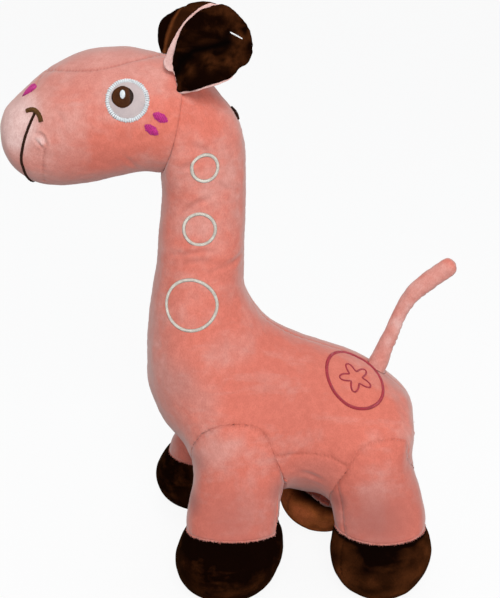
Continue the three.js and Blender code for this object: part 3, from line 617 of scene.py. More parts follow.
# Two stuffed forms that are sewn together run into each other in a soft hollow. Points are carried on
# to it, and each one's side says how far it is from the seam between them
def runInto(rings, near, ownTree, otherTree):
    hollow = meeting["hollow"]
    points = rings.reshape(-1, 3).copy()
    side = np.full(len(points), 2 * hollow)
    for i in np.nonzero(near)[0]:
        place = Vector(points[i])
        gap, normal = signedGap(otherTree, place, hollow)
        if gap is None:
            continue
        side[i] = gap
        own, ownNormal = signedGap(ownTree, place, 2 * hollow)
        if gap < -meeting["deep"] or own is None or (gap < 0 and normal.dot(ownNormal) < -0.2):
            continue
        for _ in range(2):
            own, ownNormal = signedGap(ownTree, place, 2 * hollow)
            gap, normal = signedGap(otherTree, place, 3 * hollow)
            if own is None or gap is None:
                break
            share = min(1, max(0, 0.5 + 0.5 * (gap - own) / hollow))
            out = gap * (1 - share) + own * share - hollow * share * (1 - share)
            place -= (normal * (1 - share) + ownNormal * share).normalized() * out
            side[i] = gap - own
        points[i] = place
    return points.reshape(rings.shape), side


def aroundHip(points, hip):
    turn = np.arctan2(points[:, 2] - hip[2] + hipSeam["below"], points[:, 0] - hip[0])
    return hipSeam["radius"] * (math.pi + turn)


# The seam between two forms, past which a cloth goes in under the other one
def joinSeam(sewing, side, along, seed):
    away = np.abs(side)
    sewing.sew(away / hipSeam["slope"], along, seed, hipSeam["strength"], hipSeam["tucks"],
               away < hipSeam["reach"])
    sewing.dip -= np.where(side < 0, np.minimum(-side * 0.8, meeting["under"]), 0)


# The body: two side panels with a back seam and a throat seam, and a belly gusset

bellyShares = [(-0.26, 0.2), (-0.2, 0.42), (0.1, 0.51), (0.29, 0.49), (0.36, 0.43), (0.5, 0.33),
               (0.555, 0.16)]
bellyLine = [torsoAt(*s) for s in bellyShares]
bellyLine = np.array([(bellyLine[0][0], 0)] + bellyLine + [(bellyLine[-1][0], 0)]) + shift[[0, 2]]
bodyFolds = [
    dict(line=[(170, 254), (184, 254), (196, 252), (205, 251), (216, 252.5)], depth=1.7, width=1.5),
    dict(line=[(189, 247), (199, 244), (208, 245)], depth=0.8, width=1.6),
    dict(line=[(180, 214), (190, 207), (201, 201), (212, 196.5)], depth=1.4, width=1.8),
    dict(line=[(176, 268), (188, 262), (202, 261), (222, 264)], depth=1, width=2.2),
    dict(line=[(205, 274), (218, 268), (234, 262), (243, 252)], depth=1, width=2.2),
    dict(line=[(190, 143), (197, 146), (206, 150), (214, 150)], depth=0.9, width=1.7),
    dict(line=[(178, 170), (190, 165), (199, 158)], depth=0.9, width=2),
    dict(line=[(217, 181), (226, 187), (235, 190)], depth=0.8, width=1.9),
    dict(line=[(262, 372), (266, 385), (263, 398), (255, 410)], depth=0.9, width=3),
    dict(line=[(330, 452), (338, 458), (343, 468)], depth=1.3, width=1.8),
    dict(line=[(333, 440), (338, 450), (342, 463)], depth=0.9, width=2),
    dict(line=[(284, 447), (281, 453), (280, 461)], depth=1, width=1.8),
    dict(line=[(212, 403), (222, 409), (236, 411), (250, 409)], depth=0.9, width=3),
    dict(line=[(196, 414), (204, 409), (214, 412), (216, 419)], depth=0.6, width=2),
    dict(line=[(300, 472), (315, 476), (330, 478)], depth=0.9, width=2.2),
]
# Tones and painted shade on the body, each row as for tint: the shade values are painted shade, and the tones
# are partly painted light
bodySpots = [
    (400, 385, 26, 0, 0), (408, 434, 11, 0.8, 0), (290, 390, 50, -0.05, 0.2), (200, 290, 30, 0.2, 0),
    (200, 190, 26, 0.15, 0), (178, 384, 16, 0.5, 0.35), (222, 350, 12, 0.5, 0.2), (207, 402, 11, 0.5, 0.15),
    (245, 350, 9, 0.4, 0), (170, 385, 22, 0.4, 0), (160, 330, 26, 0.3, 0), (160, 240, 14, 0.2, 0),
    (240, 150, 16, 0.35, 0), (330, 365, 26, 0.15, 0), (312, 478, 22, 0.3, 0.35), (180, 430, 12, 0.3, 0.2),
    (300, 420, 30, -0.2, 0), (200, 345, 30, -0.15, 0),
]
# Each seam: its seed, its strength and how much it tucks the cloth
bodySeams = dict(back=(1.7, 0.5, 1.6), throat=(5.1, 0.9, 1.2), belly=(8.3, 0.9, 1.3))
neckSeam = dict(radius=30 * mm, strength=0.32, tucks=1.6, reach=25 * mm, swell=1.8 * mm, swellReach=8 * mm)
seamBow = dict(size=4.5 * mm, reach=22 * mm)  # how far the seam of head and neck bows back at the sides
throat = inMiddle(headAt(*headRows[-1][1]))


def bowed(rings, way, step):
    back = np.arange(rings.shape[0])[::-1] * step
    share = bell(back, seamBow["reach"])[:, None] * np.sin(turnsOf(rings.shape[1])) ** 2
    return rings + seamBow["size"] * share[..., None] * way


# Both cloths roll into the seam between head and neck, and the throat fills out below it
def headSeam(sewing, turn, end, seed):
    around = turn * neckSeam["radius"]
    sewing.sew(end, around, seed, neckSeam["strength"], neckSeam["tucks"], end < neckSeam["reach"])
    away = np.linalg.norm((sewing.points - throat) * [1, 0.45, 1], axis=1)
    sewing.dip += neckSeam["swell"] * bell(away, neckSeam["swellReach"])


# For each point of the rings: its turn about the middle line, how far along that it lies, and its
# distance from the seam at the end
def placesOn(rings, step):
    count, sides = rings.shape[:2]
    turn = np.tile(turnsOf(sides), count)
    run = np.repeat(lengthAlong(rings.mean(axis=1)), sides)
    return turn, run, np.repeat(np.arange(count)[::-1], sides) * step


headWay = headRings[-1].mean(axis=0) - headRings[-6].mean(axis=0)
headWay = headWay / np.linalg.norm(headWay)
bodyRings = bowed(bodyRings, headWay, cell)
headRings = bowed(headRings, headWay, headCell)


def bodyMesh():
    rings = bodyRings
    points = rings.reshape(-1, 3)
    joins = []
    for name, tree in limbTrees.items():
        hip = limbs[name][1]
        near = points[:, 2] < hip[2] + legReach["above"]
        near &= np.abs(points[:, 0] - hip[0]) < legReach["along"]
        near &= (points[:, 1] - shift[1]) * (hip[1] - shift[1]) > -legReach["past"] ** 2
        rings, side = runInto(rings, near, bodyTree, tree)
        joins.append((side + meeting["seamIn"], hip, len(name)))
    points = rings.reshape(-1, 3)
    sewing = Sewing(points)
    sewing.stuff(3)
    turn, run, end = placesOn(rings, cell)
    out = np.abs(points[:, 1] - shift[1])
    onBack = np.cos(turn) > 0
    onThroat = (np.cos(turn) < 0) & ((points[:, 0] < bellyLine[0][0]) | (points[:, 2] > 130 * mm))
    sewing.sew(out, run, *bodySeams["back"], onBack)
    sewing.sew(out, run, *bodySeams["throat"], onThroat)
    away, along = fromLine(points[:, [0, 2]], bellyLine)
    clear = np.min([join[0] for join in joins], axis=0) > 0
    onBelly = (points[:, 2] < 125 * mm) & (np.abs(np.sin(turn)) > 0.12) & clear
    sewing.sew(away, along, *bodySeams["belly"], onBelly)
    for side, hip, seed in joins:
        joinSeam(sewing, side, aroundHip(points, hip), seed)
    for fold in bodyFolds:
        line = drawnOn(bodyTree, fold["line"])
        if len(line) > 1:
            sewing.fold(line, fold["depth"] * mm, fold["width"] * mm)
    sewing.tint(bodyTree, bodySpots)
    headSeam(sewing, turn, end, 4.4)
    return ringMesh("bodySkin", displaced(rings, sewing.dip), bodyTip, None, sewing.marks())


bodySkin = bodyMesh()
print("body skin", len(bodySkin.vertices))

# The head: two side panels and a gusset over the crown

headTree = treeOf(ringMesh("headForm", headRings[::2, ::2], headTip))


def crownLine():
    middleX = headAt(-0.385, 0)[0]
    points = []
    for turn in turnsOf(90):
        narrow = abs(math.sin(turn)) ** 1.4 * math.copysign(1, math.sin(turn))
        x = middleX + head["crownLength"] / 2 * math.cos(turn) + shift[0]
        y = head["crownWidth"] / 2 * narrow + shift[1]
        hit = headTree.ray_cast(Vector((x, y, 1)), Vector((0, 0, -1)))[0]
        points.append(tuple(hit))
    return np.array(points)


headFolds = [
    dict(line=[(36, 135.5), (40, 133.5), (44, 137), (47, 146)], depth=1.3, width=1.1, lip=1),
    dict(line=[(34, 138), (38, 143), (42, 147), (44, 150)], depth=1, width=0.9, lip=0.9),
    dict(line=[(55, 108), (60, 116), (66, 124)], depth=0.5, width=1.8, lip=0.4),
    dict(line=[(120, 152), (129, 160), (139, 169)], depth=0.5, width=1.8, lip=0.4),
    dict(line=[(70, 90), (80, 86), (88, 84)], depth=0.3, width=3, lip=0.4),
    dict(line=[(110, 130), (118, 138), (130, 142)], depth=0.3, width=3, lip=0.4),
]
# Tones and painted shade on the head, each row as for tint: the shade values are painted shade over the top
# of the head and the jaw, and the tones, such as the pale muzzle, are partly painted light
headSpots = [
    (15, 125, 20, 2, 0), (12, 145, 14, 0.5, 0), (30, 100, 14, 0.8, 0), (42, 141, 4, 1.1, 0),
    (52, 76, 16, 0.45, 0.15), (85, 60, 22, 0.6, 0.25), (125, 60, 24, 0.6, 0.25), (155, 66, 14, 0.4, 0.1),
    (55, 130, 18, 0.35, 0), (92, 122, 26, 0.15, 0), (110, 156, 24, -0.3, 0), (30, 165, 14, 0.4, 0),
    (75, 165, 22, -0.5, 0.1),
]
headSeams = dict(crown=(2.4, 0.9, 0.8), middle=(6.6, 0.8, 0.6), chin=(3.3, 0.8, 0.9), nose=(5.2, 0.6, 0.4))
chinSeam = [(45, 149), (43.5, 154), (43, 160), (43, 169), (44, 181)]
noseSeam = [(41, 76), (38, 81), (36, 86)]


def headMesh():
    points = headRings.reshape(-1, 3)
    turn, run, end = placesOn(headRings, headCell)
    sewing = Sewing(points)
    sewing.stuff(11, 0.75)
    crown = crownLine()
    sewing.sew(*fromLine(points, crown, True), *headSeams["crown"])
    inside = np.hypot((points[:, 0] - crown[:, 0].mean()) / (head["crownLength"] / 2),
                      (points[:, 1] - shift[1]) / (head["crownWidth"] / 2)) < 0.95
    sewing.tone += np.where(inside & (np.cos(turn) > 0), 0.2, 0)
    out = np.abs(points[:, 1] - shift[1])
    beyondCrown = (points[:, 0] < crown[:, 0].min()) | (points[:, 0] > crown[:, 0].max())
    onMiddle = (np.cos(turn) > 0) & beyondCrown | (np.cos(turn) < 0)
    sewing.sew(out, run, *headSeams["middle"], onMiddle)
    chin = drawnOn(headTree, chinSeam)
    for side in (1, -1):
        line = chin.copy()
        line[:, 1] = shift[1] + side * (line[:, 1] - shift[1])
        sewing.sew(*fromLine(points, line), *headSeams["chin"])
    sewing.sew(*fromLine(points, drawnOn(headTree, noseSeam)), *headSeams["nose"])
    for fold in headFolds:
        sewing.fold(drawnOn(headTree, fold["line"]), fold["depth"] * mm, fold["width"] * mm, fold["lip"])
    sewing.tint(headTree, headSpots)
    headSeam(sewing, turn, end, 9.1)
    return ringMesh("headSkin", displaced(headRings, sewing.dip), headTip, None, sewing.marks())


headSkin = headMesh()
print("head skin", len(headSkin.vertices))

bodyPiece = addPiece("bodyCloth", bodySkin, pinkPlush, "body",
                     ["left_body_panel", "right_body_panel", "belly_gusset", "torso_filling", "neck_filling"])
headPiece = addPiece("headCloth", headSkin, pinkPlush, "body",
                     ["left_head_panel", "right_head_panel", "head_top_gusset", "head_filling"])
bodyCloth = treeOf(bodySkin)
headCloth = treeOf(headSkin)

# Legs and hooves


# Every tree starts from points made an even run, and ends in real geometry with its material
def newTree(name, inputs):
    tree = bpy.data.node_groups.new(name, "GeometryNodeTree")
    tree.interface.new_socket(name="Geometry", in_out="INPUT", socket_type="NodeSocketGeometry")
    inputs = [("Spacing", "Float", 0.4 * mm), ("Seed", "Int", 1), ("Material", "Material", None)] + inputs
    for label, kind, value in inputs:
        socket = tree.interface.new_socket(name=label, in_out="INPUT", socket_type="NodeSocket" + kind)
        if value is not None:
            socket.default_value = value
    tree.interface.new_socket(name="Geometry", in_out="OUTPUT", socket_type="NodeSocketGeometry")
    given = tree.nodes.new("NodeGroupInput").outputs
    path = addNode(tree, "GeometryNodeMeshToCurve", {"Mesh": given["Geometry"]}).outputs["Curve"]
    even = addNode(tree, "GeometryNodeResampleCurve", {"Curve": path, "Length": given["Spacing"]},
                   mode="LENGTH")
    return tree, given, even.outputs["Curve"]


def closeTree(tree, given, geometry):
    real = addNode(tree, "GeometryNodeRealizeInstances", {"Geometry": geometry}).outputs["Geometry"]
    dyed = addNode(tree, "GeometryNodeSetMaterial", {"Geometry": real, "Material": given["Material"]})
    addNode(tree, "NodeGroupOutput", {"Geometry": dyed.outputs["Geometry"]})
    return tree


def vectorOf(tree, name):
    node = addNode(tree, "GeometryNodeInputNamedAttribute", {"Name": name}, data_type="FLOAT_VECTOR")
    return node.outputs["Attribute"]


# The mesh that a tree makes from points and edges, whose vectors it reads by name
def grown(name, tree, points, edges, vectors, values):
    mesh = bpy.data.meshes.new(name)
    mesh.from_pydata(points, edges, [])
    for label, rows in vectors.items():
        markPoints(mesh, label, rows, "FLOAT_VECTOR")
    start = bpy.data.objects.new(name, mesh)
    scene.collection.objects.link(start)
    modifier = start.modifiers.new(tree.name, "NODES")
    modifier.node_group = tree
    for item in tree.interface.items_tree:
        if item.item_type == "SOCKET" and item.in_out == "INPUT" and item.name in values:
            modifier[item.identifier] = values[item.name]
    result = bpy.data.meshes.new_from_object(start.evaluated_get(bpy.context.evaluated_depsgraph_get()))
    start.modifiers.clear()
    bpy.data.objects.remove(start)
    return result


def joined(name, meshes):
    merged = bmesh.new()
    for mesh in meshes:
        merged.from_mesh(mesh)
    mesh = bpy.data.meshes.new(name)
    merged.to_mesh(mesh)
    merged.free()
    mesh.polygons.foreach_set("use_smooth", [True] * len(mesh.polygons))
    return mesh


def unit(v):
    v = np.asarray(v, float)
    return v / (np.linalg.norm(v) + 1e-12)


# Tones and painted shade on the legs, each row as for tint: the shade values are painted shade down the lower
# legs and along their sides, and the tones are partly painted light
legSpots = [
    (192, 500, 9, 0.1, 0.75), (197, 460, 8, 0.2, 0.5), (276, 490, 9, 0.4, 0.5), (232, 440, 14, 0.15, 0),
    (235, 522, 28, -0.25, 0.62), (232, 475, 16, -0.3, 0.15), (338, 500, 9, 0, 0.85), (422, 490, 12, 0.45, 0),
    (378, 524, 30, -0.25, 0.82), (420, 440, 8, 0.6, 0),
]
# The seam of a leg and its hoof: how far it lies from level in three places, over which reach, and how
# the cloth rolls in to it
hoofSeam = dict(frontRise=6 * mm, corner=9 * mm, innerDrop=21 * mm, reach=24 * mm, roll=0.7 * mm,
                rollReach=4 * mm, gap=0.4 * mm, radius=36 * mm, strength=0.15, tucks=3)
# The upright seam of a leg: where it lies round a front and a hind leg, and how low it starts
backSeam = dict(front=0, hind=1.185 * math.pi, radius=33 * mm, strength=1.1, tucks=0.7, lowest=22 * mm)
# Each hoof's tone, and how high up the hoof it ends: a rust brown in patches, and on the far hind hoof a
# strong tone that is painted light
hoofRustAndLight = dict(left_front=(0.03, 0.6), right_front=(0, 0.6), left_hind=(0.17, 0.93), right_hind=(1.5, 0.6))
pile = dict(spacing=0.36 * mm, length=2.1 * mm, tip=0.04 * mm, root=0.3 * mm, outward=0.4, down=0.9, lean=0.3,
            sizes=(0.5, 1.2), rows=(0.965, 0.98, 0.993), tone=0.35)


# Pile at the edge of a leg's cover, lying over the hoof
def pileTree():
    tree, given, run = newTree("edgePile", [("Hair length", "Float", pile["length"])])
    hair = addNode(tree, "GeometryNodeMeshCone", {
        "Vertices": 4, "Radius Top": pile["tip"], "Radius Bottom": pile["root"],
        "Depth": given["Hair length"]})
    least, most = (-pile["lean"],) * 3, (pile["lean"],) * 3
    lean = addNode(tree, "FunctionNodeRandomValue", {0: least, 1: most, "Seed": given["Seed"]},
                   data_type="FLOAT_VECTOR")
    way = addNode(tree, "ShaderNodeVectorMath", {0: vectorOf(tree, "hairWay"), 1: lean.outputs[0]})
    turned = addNode(tree, "FunctionNodeAlignRotationToVector", {"Vector": way.outputs["Vector"]}, axis="Z")
    small, large = pile["sizes"]
    size = addNode(tree, "FunctionNodeRandomValue", {2: small, 3: large, "Seed": given["Seed"]},
                   data_type="FLOAT")
    planted = addNode(tree, "GeometryNodeInstanceOnPoints", {
        "Points": run, "Instance": hair.outputs["Mesh"], "Rotation": turned.outputs["Rotation"],
        "Scale": size.outputs[1]})
    return closeTree(tree, given, planted.outputs["Instances"])


edgePile = pileTree()


def pileAlong(rings, seed):
    points, edges, ways = [], [], []
    for ring in rings:
        first = len(points)
        middle = ring.mean(axis=0)
        for point in ring:
            points.append(tuple(point))
            ways.append(unit((point - middle) * (1, 1, 0)) * pile["outward"] + (0, 0, -pile["down"]))
        edges += [(first + k, first + (k + 1) % len(ring)) for k in range(len(ring))]
    values = {"Spacing": pile["spacing"], "Hair length": pile["length"], "Seed": seed, "Material": pinkPlush}
    result = grown("pile", edgePile, points, edges, {"hairWay": ways}, values)
    markPoints(result, "tone", [pile["tone"]] * len(result.vertices))
    return result


def awayFrom(turn, middle):
    return np.abs((turn - middle + math.pi) % (2 * math.pi) - math.pi)


# How far the seam of a leg and its hoof lies from level: up at the front of a front leg, with a corner
# of the hoof behind, and down on the inner side of the far hind leg
def seamRise(name, turn, outward):
    if "front" in name:
        corner = 1 - smoothstep(awayFrom(turn, outward * 0.16), 0.16, 0.26)
        outside = np.clip(outward * np.sin(turn), 0, 1) ** 1.5
        return hoofSeam["frontRise"] * outside + hoofSeam["corner"] * corner
    if name == "right_hind":
        return -hoofSeam["innerDrop"] * np.clip(0.25 + 0.75 * np.cos(turn - 1.62 * math.pi), 0, 1)
    return np.zeros(len(turn))


# A cloth's edge drawn in: each row is a share of the edge ring, and how far down it lies
def drawnIn(ring, rows):
    middle = ring.mean(axis=0)
    return np.array([middle + (ring - middle) * share + (0, 0, -lower * mm) for share, lower in rows])


hoofTuck = [(0.985, -0.3), (0.955, -0.2), (0.92, 0.6), (0.8, 1.5)]
legTuck = [(0.8, 1.2), (0.93, 0.9), (0.965, 0.6), (0.99, 0.3)]


def limbPieces(name, rings, hip):
    count, sides = rings.shape[:2]
    heights = rings[:, 0, 2]
    top = leg["hoofHeight"]
    near = rings.reshape(-1, 3)[:, 2] > meeting["lowest"]
    rings, side = runInto(rings, near, limbTrees[name], bodyTree)
    side = side - meeting["seamIn"]
    turn = turnsOf(sides)
    rise = seamRise(name, turn, math.copysign(1, hip[1] - shift[1]))
    rings[..., 2] += rise * bell(rings[..., 2] - top, hoofSeam["reach"])
    points = rings.reshape(-1, 3)
    sewing = Sewing(points)
    sewing.stuff(len(name) + hip[0] * 100, 0.9)
    around = np.tile(turn, count)
    above = np.repeat(heights - top, sides)
    sewing.sew(np.abs(above), around * hoofSeam["radius"], len(name) + 0.5, hoofSeam["strength"],
               hoofSeam["tucks"])
    sewing.dip -= hoofSeam["roll"] * np.exp(-np.abs(above) / hoofSeam["rollReach"])
    apart = awayFrom(around, backSeam[name.split("_")[1]]) * backSeam["radius"]
    onBack = np.repeat(heights > backSeam["lowest"], sides) & (side > 0)
    sewing.sew(apart, points[:, 2], hip[1] * 50, backSeam["strength"], backSeam["tucks"], onBack)
    joinSeam(sewing, side, aroundHip(points, hip), len(name))
    sewing.tint(limbTrees[name], legSpots)
    # Rust brown in patches, stronger on each hoof's front side and fading out upwards; the far hind hoof's
    # strong tone is painted light
    rustAndLight, rustAndLightTop = hoofRustAndLight[name]
    rustAndLight = rustAndLight * np.clip(0.8 + 0.8 * lumps(points, 13 * mm, 3), 0.1, 2)
    rustAndLight = rustAndLight * np.clip(0.9 - 0.7 * np.sin(around), 0.15, 1)
    sewing.tone += rustAndLight * np.repeat(1 - smoothstep(heights, rustAndLightTop * top, top), sides)
    low = np.repeat(smoothstep(heights, 0, 4 * mm), sides)
    moved = onFloor(displaced(rings, sewing.dip * low))
    onHoof, onLeg = heights <= top - hoofSeam["gap"], heights >= top + hoofSeam["gap"]
    hoofRings, legRings = moved[onHoof], moved[onLeg]
    marks = {label: values.reshape(-1, sides) for label, values in sewing.marks().items()}
    hoofMarks = {label: np.concatenate([v[onHoof]] + [v[onHoof][-1:]] * len(hoofTuck)).ravel()
                 for label, v in marks.items()}
    legMarks = {label: np.concatenate([v[onLeg][:1]] * len(legTuck) + [v[onLeg]]).ravel()
                for label, v in marks.items()}
    hoofRings = np.concatenate([hoofRings, drawnIn(hoofRings[-1], hoofTuck)])
    legMiddle = legRings[0].mean(axis=0)
    edge = [legMiddle + (legRings[0] - legMiddle) * (share, share, 1) for share in pile["rows"]]
    legRings = np.concatenate([drawnIn(legRings[0], legTuck), legRings])
    legMesh = ringMesh(name + "Leg", legRings, end=hip, marks=legMarks)
    legMesh = joined(name + "Leg", [legMesh, pileAlong(edge, len(name))])
    cover = addPiece(name + "LegCloth", legMesh, pinkPlush, "body",
                     [name + "_leg_cover", name + "_leg_filling"])
    hoofMesh = ringMesh(name + "Hoof", hoofRings, marks=hoofMarks)
    hoof = addPiece(name + "HoofCloth", hoofMesh, brownPlush, "body", [name + "_hoof"])


for name, (rings, hip) in limbs.items():
    limbPieces(name, rings, hip)
print("legs and hooves made")

# Embroidery: each line or patch is a padded bed with threads lying across it


def threadTree():
    tree, given, run = newTree("satinThreads", [
        ("Thread radius", "Float", 0.26 * mm), ("Uneven", "Float", 0.06)])
    bow = addNode(tree, "GeometryNodeCurveQuadraticBezier", {
        "Resolution": 6, "Start": (-1, 0, 0), "Middle": (0, 0, 2), "End": (1, 0, 0)}).outputs["Curve"]
    upright = addNode(tree, "FunctionNodeAlignRotationToVector", {"Vector": vectorOf(tree, "clothNormal")},
                      axis="Z").outputs["Rotation"]
    across = addNode(tree, "FunctionNodeAlignRotationToVector", {
        "Rotation": upright, "Vector": vectorOf(tree, "across")}, axis="X", pivot_axis="Z")
    least = combined(tree, 1, given["Uneven"], "SUBTRACT")
    ragged = addNode(tree, "FunctionNodeRandomValue", {2: least, 3: 1, "Seed": given["Seed"]},
                     data_type="FLOAT")
    reach = addNode(tree, "ShaderNodeVectorMath", {
        0: vectorOf(tree, "threadSize"), "Scale": ragged.outputs[1]}, operation="SCALE").outputs["Vector"]
    laid = addNode(tree, "GeometryNodeInstanceOnPoints", {
        "Points": run, "Instance": bow, "Rotation": across.outputs["Rotation"], "Scale": reach})
    paths = addNode(tree, "GeometryNodeRealizeInstances", {"Geometry": laid.outputs["Instances"]})
    ring = addNode(tree, "GeometryNodeCurvePrimitiveCircle", {
        "Resolution": 5, "Radius": given["Thread radius"]})
    thread = addNode(tree, "GeometryNodeCurveToMesh", {
        "Curve": paths.outputs["Geometry"], "Profile Curve": ring.outputs["Curve"], "Fill Caps": True})
    smooth = addNode(tree, "GeometryNodeSetShadeSmooth", {"Geometry": thread.outputs["Mesh"]})
    return closeTree(tree, given, smooth.outputs["Geometry"])


satinThreads = threadTree()


# Threads lying across runs of (point, normal, across, half length, rise)
def threadsAlong(name, paths, closed, material, stitch, radius):
    points, edges = [], []
    vectors = {"clothNormal": [], "across": [], "threadSize": []}
    for path in paths:
        first = len(points)
        for point, normal, side, half, rise in path:
            points.append(tuple(point))
            for rows, row in zip(vectors.values(), (normal, side, (half, 1, rise))):
                rows.append(row)
        edges += [(first + k, first + k + 1) for k in range(len(path) - 1)]
        if closed:
            edges.append((len(points) - 1, first))
    values = {"Spacing": stitch["spacing"], "Thread radius": radius, "Seed": stitch["seed"],
              "Material": material, "Uneven": stitch["uneven"]}
    return grown(name, satinThreads, points, edges, vectors, values)


# A place on cloth, with two directions along it; moved is how far its pattern lies from its middle
class Seat:
    def __init__(self, cloth, form, origin, way, upHint):
        self.cloth, self.form, self.moved = cloth, form, (0, 0)
        self.point = np.array(cloth.ray_cast(Vector(origin), Vector(way))[0])
        self.normal = unit(form.ray_cast(Vector(origin), Vector(way))[1])
        self.across = unit(np.cross(upHint, self.normal))
        self.up = np.cross(self.normal, self.across)

    def at(self, a, b):
        start = Vector(self.point + self.across * a + self.up * b + self.normal * 30 * mm)
        way = Vector(-self.normal)
        return np.array(self.cloth.ray_cast(start, way)[0]), unit(self.form.ray_cast(start, way)[1])


# The padding under a satin line, darker than its thread; where it is wider than the line, its dark sides are
# painted shade along both edges
def bedAlong(path, closed, height, spread):
    rise, sink = (0.82, 0.35 * mm) if spread < 1 else (0.45, 0.1 * mm)
    rings = np.array([[
        point + side * half * spread * math.cos(a) + normal * (height * rise * math.sin(a) - sink)
        for a in np.linspace(0, math.pi, 7)] for point, normal, side, half, _ in path])
    count, sides = rings.shape[:2]
    faces = []
    for i in range(count if closed else count - 1):
        for k in range(sides):
            j, n = (i + 1) % count, (k + 1) % sides
            faces.append((i * sides + k, i * sides + n, j * sides + n, j * sides + k))
    if not closed:
        faces += [tuple(range(sides - 1, -1, -1)), tuple((count - 1) * sides + k for k in range(sides))]
    mesh = bpy.data.meshes.new("bed")
    mesh.from_pydata(rings.reshape(-1, 3).tolist(), [], faces)
    facing = bmesh.new()
    facing.from_mesh(mesh)
    bmesh.ops.recalc_face_normals(facing, faces=facing.faces)
    facing.to_mesh(mesh)
    facing.free()
    markPoints(mesh, "bed", [1] * len(mesh.vertices))
    return mesh


# How threads lie where a piece doesn't say otherwise
plainStitch = dict(spacing=0.42 * mm, uneven=0.06, thick=0.3 * mm, spread=0.86)
plainPatch = dict(spacing=0.42 * mm, uneven=0.06, cover=0.62, spread=0.94, bed=0)


def satinLine(name, places, closed, stitch, material, node):
    stitch = plainStitch | stitch
    count = len(places)
    path = []
    for i, (point, normal) in enumerate(places):
        ahead = places[(i + 1) % count if closed else min(i + 1, count - 1)][0]
        behind = places[(i - 1) % count if closed else max(i - 1, 0)][0]
        side = unit(np.cross(unit(ahead - behind), normal))
        path.append((point, normal, side, stitch["width"] / 2, stitch["height"]))
    radius = min(0.6 * stitch["spacing"], stitch["thick"])
    threads = threadsAlong(name, [path], closed, material, stitch, radius)
    bed = bedAlong(path, closed, stitch["height"], stitch["spread"])
    return addPiece(name, joined(name, [bed, threads]), material, "body", [node])


# Filled patches: each outline gives, for t from -1 to 1, the place along, half the length across and its
# offset
def satinPatch(name, seat, outlines, stitch, material, node, turn=0.0):
    stitch = plainPatch | stitch
    meshes, paths = [], []
    for outline in outlines:
        path, top = [], []
        for t in np.linspace(-0.97, 0.97, 25):
            along, half, offset = outline(t)
            places = []
            for a in (offset - half, offset, offset + half):
                x = along * math.sin(turn) + a * math.cos(turn)
                y = along * math.cos(turn) - a * math.sin(turn)
                places.append(seat.at(x + seat.moved[0], y + seat.moved[1]))
            (left, _), (middle, normal), (right, _) = places
            base = (left + right) / 2 + normal * stitch["bed"]
            sag = float((middle + normal * stitch["bed"] - base) @ normal)
            crown = stitch["height"] * (0.35 + 0.65 * math.sqrt(max(0, 1 - t * t)))
            side, reach = unit(right - left), float(np.linalg.norm(right - left)) / 2
            path.append((base, normal, side, reach, sag + crown))
            arc = []
            for a in np.linspace(0, math.pi, 9):
                lift = (sag + crown * 0.8) * math.sin(a) ** 0.8 - 0.2 * mm
                arc.append(base + side * reach * stitch["spread"] * math.cos(a) + normal * lift)
            top.append(arc)
        meshes.append(ringMesh("bed", np.array(top), marks={"bed": np.ones(len(top) * 9)}))
        paths.append(path)
    radius = stitch["cover"] * stitch["spacing"]
    meshes.append(threadsAlong(name, paths, False, material, stitch, radius))
    return addPiece(name, joined(name, meshes), material, "body", [node])


def oval(length, width):
    return [lambda t: (t * length / 2, width / 2 * math.sqrt(max(0.02, 1 - t * t)), 0)]


upward = np.array([0, 0, 1.0])
eye = dict(
    across=30 * mm, middle=headAt(-0.225, 0.212), felt=0.7 * mm, under=0.3 * mm,
    iris=14.6 * mm, irisAt=(0.1, 0.07), glint=(5.6 * mm, 3.6 * mm), glintAt=(0.1, 0.12),
    ringStitch=dict(width=2.9 * mm, height=1.5 * mm, spacing=1.5 * mm, seed=3, uneven=0.3, thick=0.62 * mm,
                    spread=0.92),
    irisStitch=dict(bed=0.9 * mm, height=0.9 * mm, spacing=0.55 * mm, seed=5, uneven=0.1, cover=0.5,
                    spread=1.06),
    glintStitch=dict(bed=1.7 * mm, height=0.6 * mm, seed=6))
# Each cheek mark: its name, its middle and how far it lies turned
cheekMarks = [("rear", headAt(-0.045, 0.085), 120), ("front", headAt(-0.095, -0.005), 128)]
cheek = dict(size=(10.6 * mm, 6.3 * mm),
             stitch=dict(height=1.1 * mm, spacing=1.1 * mm, seed=8, uneven=0.22, cover=0.52, spread=0.9))
neckRings = [("top", neckAt(0.15, 0.685), 21 * mm), ("middle", neckAt(0.075, 0.475), 24.5 * mm),
             ("bottom", neckAt(-0.04, 0.22), 39 * mm)]
# The neck rings' wide dark bed paints shade along both edges of each ring
neckStitch = dict(width=1.9 * mm, height=1.1 * mm, spacing=0.45 * mm, seed=9, spread=1.45)
cornerStitch = dict(width=3.4 * mm, height=1.3 * mm, seed=12)
smileStitch = dict(width=1.9 * mm, height=1.1 * mm, seed=14)
# The corner and the line of the mouth, as points of the photograph
mouthCorner = [(26.4, 110.6), (29.5, 109.6), (32.8, 109.6), (36, 111.3), (38.6, 114.6), (40.1, 118),
               (40.9, 121.7)]
smileDrawn = [(34.2, 113.5), (30.8, 121), (27.4, 130), (24.3, 140), (22.5, 148), (21.4, 156), (22, 163),
              (24.2, 169.5)]


def sideSeat(cloth, form, place, side):
    return Seat(cloth, form, inMiddle(place) + (0, side * 0.6, 0), (0, -side, 0), upward)


def ringPlaces(seat, halfAcross, halfUp, steps):
    return [seat.at(halfAcross * math.cos(t), halfUp * math.sin(t)) for t in turnsOf(steps)]


# Each row: a share of the disc's radius, and the height there as a share of its thickness
discRows = [(0.02, 0.1), (0.5, 0.12), (0.96, 0.1), (1, 0.3), (1, 0.7), (0.97, 1), (0.6, 1.25), (0.3, 1.35),
            (0.05, 1.38)]


